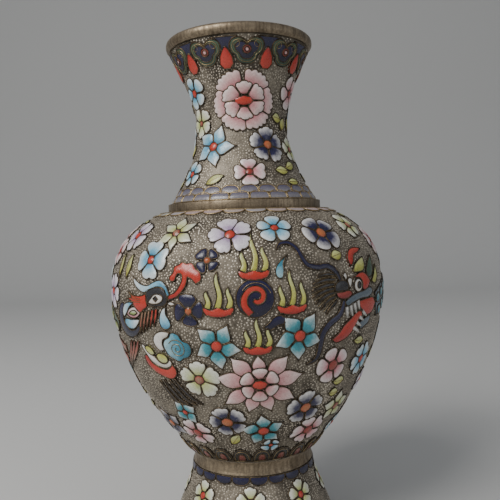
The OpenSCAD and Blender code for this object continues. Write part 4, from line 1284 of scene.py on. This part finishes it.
print("phoenix:", sum(len(shapes) for shapes in DRAWN.values()), "shapes")

# %% Cloud, fungus and drops
DRAWN.update({
    "cloud_crests": [
        ("ivory", 0.9, 0, "left", (
            (-38.5, 157.4), (-37.2, 161.4), (-33.8, 163.9), (-30, 163.6), (-31, 160.8), (-33.5, 158.6),
            (-34.2, 155), (-33.6, 152.2), (-35.6, 151.4), (-37.6, 153.6)))],
    "cloud_curls": [
        ("spiral_blue", 0.9, 0, "left", (
            (-33, 151.6), (-33.6, 155.6), (-32.6, 158.6), (-30.4, 160.6), (-29.4, 163.2), (-26.4, 162.4),
            (-25, 158.9), (-22.2, 157), (-21.5, 152.6), (-23.2, 148.6), (-25.4, 147.4), (-27.6, 145.4),
            (-30, 146.9), (-31.8, 148.4)))],
    "red_fungus": [
        ("red", 0.7, 0, "up", (
            (-28.7, 196.6), (-27.2, 199.6), (-27, 203), (-25.2, 204.2), (-24, 205.6), (-22, 204.9),
            (-19.8, 205), (-18.2, 201.6), (-16.4, 199.4), (-16.1, 195.2), (-18, 192.9), (-19.6, 195.8),
            (-21.2, 197.2), (-21.9, 192), (-23.6, 188.2), (-26.2, 184.8), (-29.2, 183.4), (-28.8, 186),
            (-26.4, 187.8), (-24.6, 191), (-23.5, 195), (-23.6, 198.4), (-25.2, 199), (-26, 197),
            (-26.6, 194.8), (-28, 194.6)))],
    "teal_drops": [
        ("spiral_blue", 0.5, 0, "down", (
            (10.5, 199), (12.2, 204), (15.8, 208.2), (13.7, 203.2), (13.6, 198.8), (12.8, 195),
            (11.2, 195.4))),
        ("navy", 0.6, 0, "up", (
            (5.4, 166.4), (7.6, 169), (9.2, 172), (11.8, 173.2), (13.7, 171.6), (13.2, 168.6),
            (10.8, 167.4), (8.2, 165)))],
})

# %% Dragon
WHISKERS = [
    ((12, 211.4, 0.8), (13.6, 214.6, 1.8), (17, 215, 2.2), (19.9, 211.6, 2.6), (21.2, 206.4, 2.8),
     (23.2, 201.6, 3.2), (27.2, 199.8, 3.4), (31, 200.2, 3.4), (34, 197.8, 3.4), (35.8, 194, 3.0),
     (36.6, 190.8, 2.2)),
    ((37.8, 178.6, 2.4), (37.3, 174, 3.2), (35.6, 169.4, 4.0), (32.2, 166.2, 4.4), (29.8, 162.6, 4.4),
     (28.3, 157.6, 4.2), (28, 151.6, 3.7), (27.6, 146.8, 3.2), (26.2, 143.4, 2.4), (22.8, 141.4, 1.0))]
MANE = [((34.8, 194.2, 1.2), (31, 195.4, 1.6), (26.4, 194.6, 0.8)),
        ((34, 191.6, 1.4), (29.8, 192, 1.8), (24.4, 190, 0.8)),
        ((33.4, 189, 1.4), (29.4, 188.6, 1.8), (23.8, 186, 0.8)),
        ((33.2, 186.4, 1.4), (29.2, 185.6, 1.8), (23.8, 182, 0.8)),
        ((33.2, 184, 1.4), (29.6, 182.6, 1.8), (25, 178.4, 0.8)),
        ((33.4, 181.4, 1.4), (30.4, 179.6, 1.8), (27, 174.6, 0.8)),
        ((34.6, 179, 1.4), (32.4, 176.4, 1.8), (29.6, 171.4, 0.8))]
DRAWN.update({
    "dragon_whiskers": [("navy", 0.8, 0, "up", band) for band in WHISKERS]
    + [("black", 0.3, 0, "up", band) for band in MANE],
    "dragon_nose": [
        ("black", 0.9, 0, "up", (
            (33.6, 186), (34.4, 189.2), (37, 190.8), (39.6, 189.8), (40.8, 187.2), (40.2, 185),
            (37, 184.6), (34.2, 184.6))),
        ("dark_red", 0.7, 0, "up", (
            (34, 183.8), (37, 183.8), (41, 184.2), (42.8, 182.2), (41, 180.2), (37.4, 179.4),
            (34.8, 181)))],
    "dragon_ivory": [
        ("ivory", 0.5, 0, "up", (
            (40.3, 190.8), (41.4, 192), (43, 191), (42.3, 187.6), (41.3, 185), (40.8, 187.6))),
        ("ivory", 0.5, 0, "up", (
            (38, 193.6), (39.2, 195.8), (40.2, 194), (39.9, 191.4), (39, 190.6), (38.7, 192.6)))]
    + [("ivory", 0.4, 0.5, "up", band) for band in (
        ((39.4, 174.4, 2.2), (39.6, 171, 2.0), (40, 167.4, 0.9)),
        ((41.5, 175, 2.2), (42, 171.8, 2.0), (42.8, 168.2, 0.9)),
        ((43.6, 176, 2.2), (44.2, 172.8, 2.0), (45, 169.4, 0.9)),
        ((45.8, 177.2, 2.2), (46.4, 174.2, 2.0), (47, 171.4, 0.9)),
        ((44, 160.4, 2.2), (46, 158.8, 2.0), (48.2, 156.6, 0.9)),
        ((45.8, 163.6, 2.2), (47.4, 162, 1.8), (49.2, 160.4, 0.9)),
        ((47.2, 166.8, 2.2), (48.8, 165.2, 1.8), (50.4, 163.8, 0.9)),
        ((49.2, 169.8, 2.2), (50.8, 168, 1.8), (52.4, 166.2, 0.9)))],
    "dragon_eye": [
        ("ivory", 0.7, 0.1, "up", oval(46.4, 186.6, 2.5, 4.1, 10)),
        ("black", 0.4, 0.75, "up", oval(46.5, 186.8, 1.15, 2.1, 8))],
    "dragon_flesh": [
        ("red", 0.8, 0, "up", (
            (44.2, 191.4), (46.6, 193.6), (51, 194.2), (53.4, 191.8), (55.4, 188.4), (53.8, 184.8),
            (51.2, 183.2), (49.4, 184), (49.5, 187.8), (47.8, 191))),
        ("red", 0.8, 0, "up", (
            (46.8, 176.8), (52, 177.4), (58, 177), (60.4, 173.4), (57.6, 168.2), (53, 166.8),
            (50.2, 169.6), (47.4, 173.2))),
        ("red", 0.8, 0, "up", (
            (33, 155.2), (36, 158), (38.8, 163), (41.8, 166.2), (45, 169.6), (48.2, 170.2),
            (49.4, 167.2), (46.8, 164.6), (44.6, 159.6), (42.2, 156), (38, 153.2), (35.2, 152.8))),
        ("red", 0.5, 0, "up", (
            (43.2, 198.6), (42.6, 204), (44.6, 208.4), (49, 210), (54, 209), (50, 206.8), (46.8, 205.2),
            (45.4, 201)))],
    "dragon_jaws": [
        ("slate", 0.8, 0, "up", (
            (38.2, 177.4), (41, 180), (44, 181.6), (50, 182.8), (56, 183.8), (57.6, 181), (54, 178.4),
            (48, 178.2), (43, 176.4), (40, 174.8))),
        ("slate", 0.6, 0, "up", (
            (48, 162.8), (51, 164.6), (55.8, 166.4), (56, 163), (52, 159.4), (49, 158.6))),
        ("leaf", 0.6, 0, "up", (
            (44.2, 195), (45.4, 198.8), (48.4, 201.6), (53, 204.2), (52.6, 199.4), (51.4, 196),
            (47.6, 194.8))),
        ("green", 0.6, 0, "up", (
            (54, 190.4), (53.4, 195), (56, 200), (60.6, 204.4), (59.6, 197.6), (58, 192))),
        ("leaf", 0.5, 0, "up", (
            (57, 188), (60, 192), (63.4, 198), (63.6, 191), (60.6, 186)))],
})
print("drawn motifs:", sorted(DRAWN))

# %% The bodies that go round the sides
# The dragon's body winds to the right under its scales, the phoenix's neck and five plumes to the left.
# FRONT is the azimuth beyond which a motif's cells keep the outline they have in the CAD
FRONT = 64
way = np.linspace(0, 1, 9)
DRAWN["dragon_scales"] = [("slate", 0.2, 0.0, "up", tuple(
    (61.5 + 74 * t, 168.8 + 15 * math.sin(math.radians(12 + 180 * t)), 17 - 12 * t) for t in way))]
DRAWN["phoenix_scales"].append(("green", 0.2, 0.0, "up", tuple(
    (-65 - 71 * t, 162 + 10 * math.sin(math.radians(440 * t)), 9.5 - 4 * t) for t in way)))
for k, glass in enumerate(("rust", "red", "scale_blue", "red", "rust")):
    aside, height = -3 * k, 146.5 - 8 * k
    plume = tuple((-64 + aside - 11.5 * t, height + 4.2 * math.sin(1.05 * t), 5.6 - 0.62 * t)
                  for t in range(6))
    eye = oval(-119.5 + aside, height + 4.2 * math.sin(5), 2.6, 2.4, 8)
    DRAWN["phoenix_plumes"] += [(glass, 0.5, 0.0, "down", plume), ("sky", 0.5, 0.5, "up", eye)]


def laid_free(pads, cell, glass, dome, reach, lift, wired=True):
    """Lays one free shape, with its wire round it."""
    pads.lay(cell, glass, dome, reach, float(chance.random()), lift)
    if wired:
        wire_round(cell, lift)


# %% Tongues, flames and the pearl
def tongue(cell):
    """A flame tongue: a band that sways, broad at its foot, over its CAD cell."""
    low, high = cell.loops[0].min(0), cell.loops[0].max(0)
    t = np.linspace(0, 1, 7)
    height = low[1] - 2.4 + (high[1] - low[1] + 2.6) * t
    sway = (0.5 + 0.03 * (high[1] - low[1])) * np.sin(2 * math.pi * (t - 0.08))
    line = ribbon(np.stack([sway, height], 1), np.interp(t, (0, 0.3, 0.8, 1), (4.2, 3.3, 2.5, 0.5)))
    return Cell(cell.wall, cell.azimuth, cell.s, [line])


def round_line(radius, steps=40):
    angle = np.linspace(0, 2 * math.pi, steps, endpoint=False)
    return np.stack([radius * np.cos(angle), radius * np.sin(angle)], 1)


def cloud_line(half_width, half_height, bumps=6):
    """A cloud's outline: an oval with round bumps and sharp folds between them."""
    line = []
    for k in range(bumps * 8):
        angle = 2 * math.pi * k / (bumps * 8)
        swell = 0.88 + 0.2 * abs(math.sin(bumps * angle / 2))
        line.append((half_width * swell * math.cos(angle), half_height * swell * math.sin(angle)))
    return np.array(line)


PEARL_RADIUS = 11.3
COMMA = [(9.6, 254, 4.0), (7.6, 214, 4.2), (6.2, 172, 3.8), (5.7, 122, 3.4), (5.8, 76, 3.2), (5.5, 34, 3.2),
         (4.2, -10, 3.2), (2.6, -60, 3.0), (1.6, -130, 2.0)]


def comma_cell(disc):
    """The red comma that winds into the pearl: (radius, angle, width) all the way in."""
    line = [(r * math.cos(math.radians(a)), r * math.sin(math.radians(a))) for r, a, _ in COMMA]
    return Cell(disc.wall, disc.azimuth, disc.s, [ribbon(np.array(line), [w for _, _, w in COMMA])[::-1]])


# %% Free shapes
def free_cell(node, cell):
    """What is laid over a CAD cell of a free shape, and how high."""
    if node == "flame_tongues":
        return tongue(cell), 0.0
    if node in ("cloud_crests", "cloud_curls") and abs(from_front(cell.azimuth)) > 90:
        return Cell(cell.wall, cell.azimuth, cell.s, [cloud_line(*abs(cell.loops[0]).max(0))]), 0.0
    loops = [swollen(rounded(loop, 0.95), 0.3) for loop in cell.loops]
    lift = 0.4 if node in ("dragon_scales", "phoenix_scales") else 0.0
    return Cell(cell.wall, cell.azimuth, cell.s, loops), lift


def redrawn(node, cell):
    """Whether a shape drawn above stands for this cell."""
    if node.startswith("pearl") or node == "phoenix_plumes":
        return True
    return node in DRAWN and node != "dragon_scales" and abs(from_front(cell.azimuth)) < FRONT


pearl = max(cells["pearl_disc"], key=lambda cell: area(cell.loops[0]))
for node, (glass, reach, dome) in FREE.items():
    pads = Pads()
    for cell in cells[node]:
        if not redrawn(node, cell):
            free, lift = free_cell(node, cell)
            laid_free(pads, free, glass, dome, reach, lift)
    for own_glass, own_dome, lift, own_reach, places in DRAWN.get(node, ()):
        tooth = node == "dragon_ivory" and len(places[0]) == 3
        laid_free(pads, drawn_cell(places), own_glass, own_dome, own_reach, lift, not tooth)
    if node == "pearl_disc":
        disc = Cell(pearl.wall, pearl.azimuth, pearl.s, [round_line(PEARL_RADIUS)])
        laid_free(pads, disc, glass, 0.3, reach, 0.0)
    if node == "pearl_swirl":
        laid_free(pads, comma_cell(pearl), glass, 0.45, reach, 0.4)
        fine_wire(pearl, spiral((0, 0), 9.4, 8.6, 0.36, 0.3), 1.15)
    keep(put(pads.mesh(node + "_enamel"), node + "_enamel"), SLOT[node], node)
print("free shapes:", len(FREE), "nodes,", sum(len(group) for group in DRAWN.values()), "drawn by hand")

# %% Gilt wires inside the motifs
for strand, after in zip(MANE, MANE[1:]):
    between = np.array([[(a + b) / 2 for a, b in zip(one, other)] for one, other in zip(strand, after)])
    lock = drawn_cell(between)
    line = lock.gather(between[:, 0], np.array([belly_wall.s_of(height) for height in between[:, 1]]))
    fine_wire(lock, through(line, 5), 0.5)
face = drawn_cell(DRAWN["phoenix_face"][0][4])
for droop in (-1, 0, 1):
    feather = [(5.4, 1.2 + droop), (0, 1.4 * droop + 1.6), (-7.4 + abs(droop), 2.8 * droop + 3)]
    fine_wire(face, through(feather, 5), 1.32)
curls = [drawn_cell(DRAWN["cloud_curls"][0][4])]
curls += [cell for cell in cells["cloud_curls"] if abs(cell.azimuth) > FRONT]
for curl in curls:
    fine_wire(curl, spiral((0.4, -0.4), 6.2, 0.7, -2.1, 2.6, 34), 1.72)
print("thin wires:", {key: len(group) for key, group in fine_lines.items()})

# %% [markdown]
# ## Filling the back
#
# A maker leaves no wide bare patch. Where the ground behind is still free, blossoms are laid, the largest
# first, each clear of every wire that is there.

# %% Blossoms in the free places
BLOSSOM_GLASSES = ("sky", "pink", "lilac", "cream", "navy_white", "turquoise")
BACK_SLOT = {"dark_red": "enamel_red", "orange": "enamel_red", "rust": "enamel_red",
             "navy_white": "enamel_navy"}
TRIES = 420
CLEAR = 1.4
BACK_FROM, BACK_TO = 66, 294


class Taken:
    """The points of every wire that is laid so far."""

    def __init__(self, loops):
        self.points = np.concatenate(loops)

    def add(self, loop):
        self.points = np.concatenate([self.points, loop])

    def gap(self, here):
        return np.linalg.norm(self.points - here, axis=1).min()


back = {}
taken = Taken([loop for key in ("belly_front", "belly_back", "neck") for loop in lines[key]]
              + [laid(cell, loop) for node in BORDERS for cell in cells[node] for loop in cell.loops])


def lay_back(cell, glass, dome, reach, lift=0.0):
    """Lays a pad behind, adds its wire, and counts its line as taken."""
    back.setdefault(glass, Pads()).lay(cell, glass, dome, reach, float(chance.random()), lift)
    wire_round(cell, lift)
    taken.add(laid(cell, cell.loops[0]))


def back_blossom(wall, azimuth, s, size):
    """Five petals and a heart about one place."""
    glass = str(chance.choice(BLOSSOM_GLASSES))
    kind = "pointed" if glass == "turquoise" else str(chance.choice(("plum", "lobed", "notched")))
    first, swing = float(chance.uniform(0, 2 * math.pi)), float(chance.uniform(-0.3, 0.3))
    inner, half = 0.22 * size, 0.40 * size
    for k in range(5):
        outline = petal_line(kind, inner, size, half, swing, math.pi / 5)
        outline = turned_by(outline, first + k * math.tau / 5)
        petal = Cell(wall, azimuth, s, [rounded(outline, 0.9, 0.0, PETAL_CORNER)],
                     lambda uv: (np.hypot(uv[:, 0], uv[:, 1]) - inner) / (size - inner))
        lay_back(petal, glass, 0.85, "up")
    heart = Cell(wall, azimuth, s, [round_line(0.24 * size, 18)])
    lay_back(heart, HEART_OF_FAMILY.get(glass.split("_")[0], "red"), 1.0, "middle", 0.15)


def back_leaf(wall, azimuth, s, size):
    """One leaf, turned any way."""
    outline = petal_line("leaf", -size, size, 0.45 * size, float(chance.uniform(-0.5, 0.5)))
    outline = turned_by(outline, float(chance.uniform(0, math.pi)))
    lay_back(Cell(wall, azimuth, s, [rounded(outline, 0.9, 0.0)]), "leaf", 0.6, "up")


for wall in (belly_wall, neck_wall):
    for size, lay_one in ((12.0, back_blossom), (9.0, back_blossom), (4.6, back_leaf)):
        for _ in range(TRIES):
            azimuth = float(chance.uniform(BACK_FROM, BACK_TO))
            s = float(chance.uniform(size, wall.s[-1] - size))
            here = wall.point(np.array([azimuth]), np.array([s]), WIRE_HEIGHT)
            if taken.gap(here) > (size + CLEAR) * MM:
                lay_one(wall, azimuth, s, size)
for glass, pads in back.items():
    name = f"back_{glass}_pads"
    keep(put(pads.mesh(name), name), BACK_SLOT.get(glass, "enamel_" + glass))
    print(name, pads.count, "pads")

# %% Borders that repeat round the vase
def pitch_count(node):
    """How many times a border's drawing repeats, from the gap between neighbours in a row."""
    if node == "foot_blossom_petals":
        return len(cells["foot_blossom_hearts"])
    row = [cell for cell in cells[node] if abs(cell.s - cells[node][0].s) < 1]
    gaps = np.diff(sorted(cell.azimuth % 360 for cell in row))
    return round(360 / float(np.median(gaps)))


def first_of(node, count):
    """The cells of one repeat, taken about the cell that lies nearest the front."""
    petals = node == "foot_blossom_petals"
    group = cells["foot_blossom_hearts"] if petals else cells[node]
    front = min(group, key=lambda cell: abs(from_front(cell.azimuth))).azimuth

    def away(cell):
        return from_front(cell.azimuth - front)

    near = [cell for cell in cells[node] if abs(away(cell)) <= 180 / count + 0.1]
    chosen = sorted(near, key=lambda cell: abs(away(cell)))
    rows = {}
    for cell in chosen:
        rows.setdefault((round(cell.s), round(away(cell)) if petals else 0), cell)
    return list(rows.values())


def arch(cell, low, high, upward=True, share=1.0):
    """An arched outline as wide as the cell's pitch, between two heights from the cell's middle."""
    half = (abs(cell.loops[0][:, 0]).max() + 0.15) * share
    rise = high - low
    side = [(half, low), (half * 0.98, low + rise * 0.4), (half * 0.84, low + rise * 0.72),
            (half * 0.5, low + rise * 0.94)]
    line = np.array(side + [(0, high)] + [(-x, y) for x, y in side[::-1]])
    if not upward:
        line = (line * (1, -1))[::-1]
    return rounded(line, 0.9, 0.0, SOFT_CORNER)


# %% Ruyi heads
RUYI_HALF = ((0, -9.4), (3.4, -8.8), (6.3, -6.4), (7.4, -3.6), (9.6, -2.0), (11.3, 0.6), (11.6, 4.0),
             (9.8, 6.8), (6.6, 7.9), (3.4, 7.4), (1.2, 5.9), (0, 4.8))


def ruyi_line(size):
    """The outline of a ruyi head: two lobes above, one below, a notch between the upper ones."""
    half = np.array(RUYI_HALF) * size
    return rounded(np.concatenate([half, (half * (-1, 1))[::-1][1:-1]]), 0.9, 0.0, math.radians(62))


def border_shapes(node, cell):
    """What is drawn over one border cell: outlines with their lift, glass and cushion."""
    lower_row = cell.s < 5
    if node == "ruyi_clouds":
        return [(ruyi_line(1.0), 0.0, "green", 0.35)]
    if node == "ruyi_hearts":
        return [(ruyi_line(0.66), 0.3, "navy", 0.35)]
    if node == "ruyi_pearls":
        return [(round_line(2.9, 14), 0.6, "dark_red", 0.4), (round_line(1.5, 10), 0.95, "pink", 0.4)]
    if node == "ruyi_ground":
        side = ((9.2, 2.7), (5.4, 1.3), (3.7, -1.2), (3.3, -4.2), (4.6, -9))
        line = np.array(side + ((0, -8),) + tuple((-x, y) for x, y in side[::-1]))[::-1]
        return [(rounded(line, 0.9, 0.0, math.radians(40)), 0.0, "navy", 0.1)]
    if node == "red_drops":
        return [(rounded(cell.loops[0] * (1.32, 1.06), 0.9), 0.3, "red", 0.8)]
    if node == "neck_scales":
        return [(arch(cell, -3.0, 2.9), 0.3, "violet_scale", 0.35) if lower_row
                else (arch(cell, -2.6, 3.2), 0.0, "violet_scale", 0.35)]
    if node == "shoulder_lappets":
        return [(arch(cell, -3.4, 3.4, False), 0.0, "lappet", 0.35)]
    if node == "lower_lappets":
        return [(arch(cell, -3.4, 9.6), 0.0, "black", 0.3),
                (arch(cell, -1.8, 5.4, True, 0.42), 0.35, "maroon", 0.4)]
    if node == "foot_scallops":
        return [(arch(cell, -1.8, 3.6, False), 0.0, "navy", 0.35)]
    return [(rounded(loop, 0.9), 0.0, BORDERS[node][0], BORDERS[node][2]) for loop in cell.loops]


def border_wires(node):
    """Thin gilt lines inside one repeat of a border."""
    if node == "ruyi_clouds":
        head = ruyi_line(0.84)
        curls = [spiral((side * 7.1, 3.6), 2.7, 1.2, side * 0.8, math.pi / 2) for side in (-1, 1)]
        return [np.concatenate([head, head[:1]])] + curls
    if node == "lower_lappets":
        return [arch(cells[node][0], -2.6, 8.2, True, 0.78)[3:-3]]
    return []


# %% Repeating the borders
WIRE_RADIUS = 0.00042
FINE_RADIUS = 0.00024
ring_wires = {"neck": [], "belly": [], "foot": []}
ring_fine = {"neck": [], "belly": [], "foot": []}


def zone(node):
    """The section of the vase that a border belongs to."""
    return "foot" if "foot" in node else "neck" if WALL_OF.get(node) is neck_wall else "belly"


for node, (glass, reach, dome) in BORDERS.items():
    count = pitch_count(node)
    tile, rings = {}, []
    for cell in first_of(node, count):
        if reach == "petal":
            heart = nearest(cell, cells["foot_blossom_hearts"])
            drawn = [(petal_cell(cell, heart, "lobed", 0.1, 5, None, 0.2, 0.78), 0.0, glass, dome)]
        else:
            drawn = [(Cell(cell.wall, cell.azimuth, cell.s, [line]), lift, own, cushion)
                     for line, lift, own, cushion in border_shapes(node, cell)]
        for shape, lift, own, cushion in drawn:
            pads, wires = tile.setdefault(own, (Pads(), []))
            pads.lay(shape, own, cushion, "up" if reach == "petal" else reach, lift=lift)
            wires += [laid(shape, loop, WIRE_HEIGHT + lift) for loop in shape.loops]
    for own, (pads, wires) in tile.items():
        rings.append(RINGED.run(pads.mesh(node, False), f"{node}_{own}", Count=count, Material=GLASS[own]))
        finish = GILT_WIRE if node in ("neck_scales", "shoulder_lappets") else WIRE
        outline = WIRED.run(line_mesh(node, wires, True), node + "_wire", Radius=WIRE_RADIUS,
                            Material=finish)
        ring_wires[zone(node)].append(RINGED.run(outline.data.copy(), node + "_wires", Count=count,
                                                 Material=finish))
        bpy.data.objects.remove(outline)
    inner = [laid(first_of(node, count)[0], line, 1.12) for line in border_wires(node)]
    if inner:
        thin = WIRED.run(line_mesh(node, inner, False), node + "_thin", Radius=FINE_RADIUS, Sides=5,
                         Material=GILT_WIRE)
        ring_fine[zone(node)].append(RINGED.run(thin.data.copy(), node + "_thin_wires", Count=count,
                                                Material=GILT_WIRE))
        bpy.data.objects.remove(thin)
    piece = keep(rings[0] if len(rings) == 1 else joined(node + "_enamel", rings), SLOT[node], node)
    print(node, "repeats", count, "times,", len(piece.data.polygons), "faces")

# %% [markdown]
# ## Wires
#
# The wires are what a cloisonne maker draws with. Every cell's line becomes a thin wire that stands in
# the ground and ends a little above the edge of the glass. Once they are tarnished they read as dark
# outlines, with a gleam of gilt where a hand has rubbed them.

# %% Cell wires
for key, group in lines.items():
    if group:
        piece = WIRED.run(line_mesh(key, group, True), key + "_wires", Radius=WIRE_RADIUS, Material=WIRE)
        keep(piece, "gilt_ground")
        print(piece.name, len(group), "loops,", len(piece.data.polygons), "faces")
for key, group in ring_wires.items():
    keep(joined(key + "_border_wires", group), "gilt_ground")
for key, group in fine_lines.items():
    if group:
        piece = WIRED.run(line_mesh(key, group, False), key + "_fine_wires",
                          Radius=FINE_RADIUS, Sides=5, Material=GILT_WIRE)
        keep(piece, "gilt_ground")
for key, group in ring_fine.items():
    if group:
        keep(joined(key + "_border_fine_wires", group), "gilt_ground")

# %% [markdown]
# ## The punched ground
#
# Between the cells the metal is covered with small peaks, which catch the light and hold the tarnish.
# They are scattered by the `grains` rule with a fixed seed, never closer than a set spacing.

# %% Grains
def ground_patch(wall, low_share, high_share):
    """The wall's outer face between two shares of its length, as one turned sheet."""
    s = np.linspace(wall.s[-1] * low_share + 0.6, wall.s[-1] * high_share - 0.6, 60)
    profile = [tuple(p) for p in wall.point(np.full(len(s), 90.0), s, 0)]
    sheet = TURNED.run(line_mesh("ground", [profile], False), "ground", Turns=128, Material=GRAIN)
    normal = sheet.data.polygons[0].normal
    middle = sheet.data.polygons[0].center
    if normal.x * middle.x + normal.y * middle.y < 0:
        sheet.data.flip_normals()
    return sheet


PATCHES = {"foot_grains": (foot_wall, 0, 1), "lower_belly_grains": (belly_wall, 0, 0.5),
           "upper_belly_grains": (belly_wall, 0.5, 1), "neck_grains": (neck_wall, 0, 1)}
for seed, (name, (wall, low_share, high_share)) in enumerate(PATCHES.items(), 3):
    sheet = ground_patch(wall, low_share, high_share)
    piece = GRAINED.run(sheet.data.copy(), name, Spacing=0.0014, Width=0.00068, Height=0.0005, Seed=seed,
                        Material=GRAIN)
    bpy.data.objects.remove(sheet)
    keep(piece, "gilt_ground")
    print(name, len(piece.data.polygons), "faces")

# %% [markdown]
# ## Floor and light
#
# A pale sheet that sweeps up behind the vase, one large soft light from the upper left, a weaker one from
# the right, and a pale surround. The light from the left gives each pad a lit edge and a shaded one.

# %% Floor
def sweep():
    """A level sheet that bends up into a wall far behind the vase."""
    steps = [(-12.0, 0.0)] + [(1.6 + 0.8 * math.sin(a), 0.8 - 0.8 * math.cos(a))
                              for a in np.linspace(0, math.pi / 2, 12)] + [(2.4, 4.0)]
    points = [(x, y, z) for y, z in steps for x in (-12.0, 12.0)]
    faces = [(2 * k, 2 * k + 1, 2 * k + 3, 2 * k + 2) for k in range(len(steps) - 1)]
    made = bpy.data.meshes.new("floor")
    made.from_pydata(points, [], faces)
    made.polygons.foreach_set("use_smooth", [True] * len(faces))
    return put(made, "floor")


paper, _, paper_shader = shader("pale_floor")
paper_shader.inputs["Base Color"].default_value = (0.62, 0.62, 0.61, 1)
paper_shader.inputs["Roughness"].default_value = 0.9
floor = sweep()
floor.data.materials.append(paper)

# %% Lights
def soft_light(name, place, aim, size, power, colour):
    """A soft panel of light that looks at a point."""
    data = bpy.data.lights.new(name, "AREA")
    data.shape = "RECTANGLE"
    data.size, data.size_y = size
    data.energy = power
    data.color = colour
    lamp = bpy.data.objects.new(name, data)
    bpy.context.scene.collection.objects.link(lamp)
    lamp.location = place
    lamp.rotation_euler = (Vector(aim) - Vector(place)).to_track_quat("-Z", "Y").to_euler()
    return lamp


middle = (0, 0, 0.2)
soft_light("key", (-1.0, -1.0, 1.35), middle, (0.9, 0.9), 31, (1.0, 0.98, 0.95))
soft_light("fill", (1.3, -0.9, 0.5), middle, (0.8, 1.2), 2.5, (0.93, 0.96, 1.0))
world = bpy.data.worlds.new("surround")
world.use_nodes = True
background = next(n for n in world.node_tree.nodes if n.type == "BACKGROUND")
background.inputs["Color"].default_value = (0.86, 0.89, 0.93, 1)
background.inputs["Strength"].default_value = 0.33
bpy.context.scene.world = world
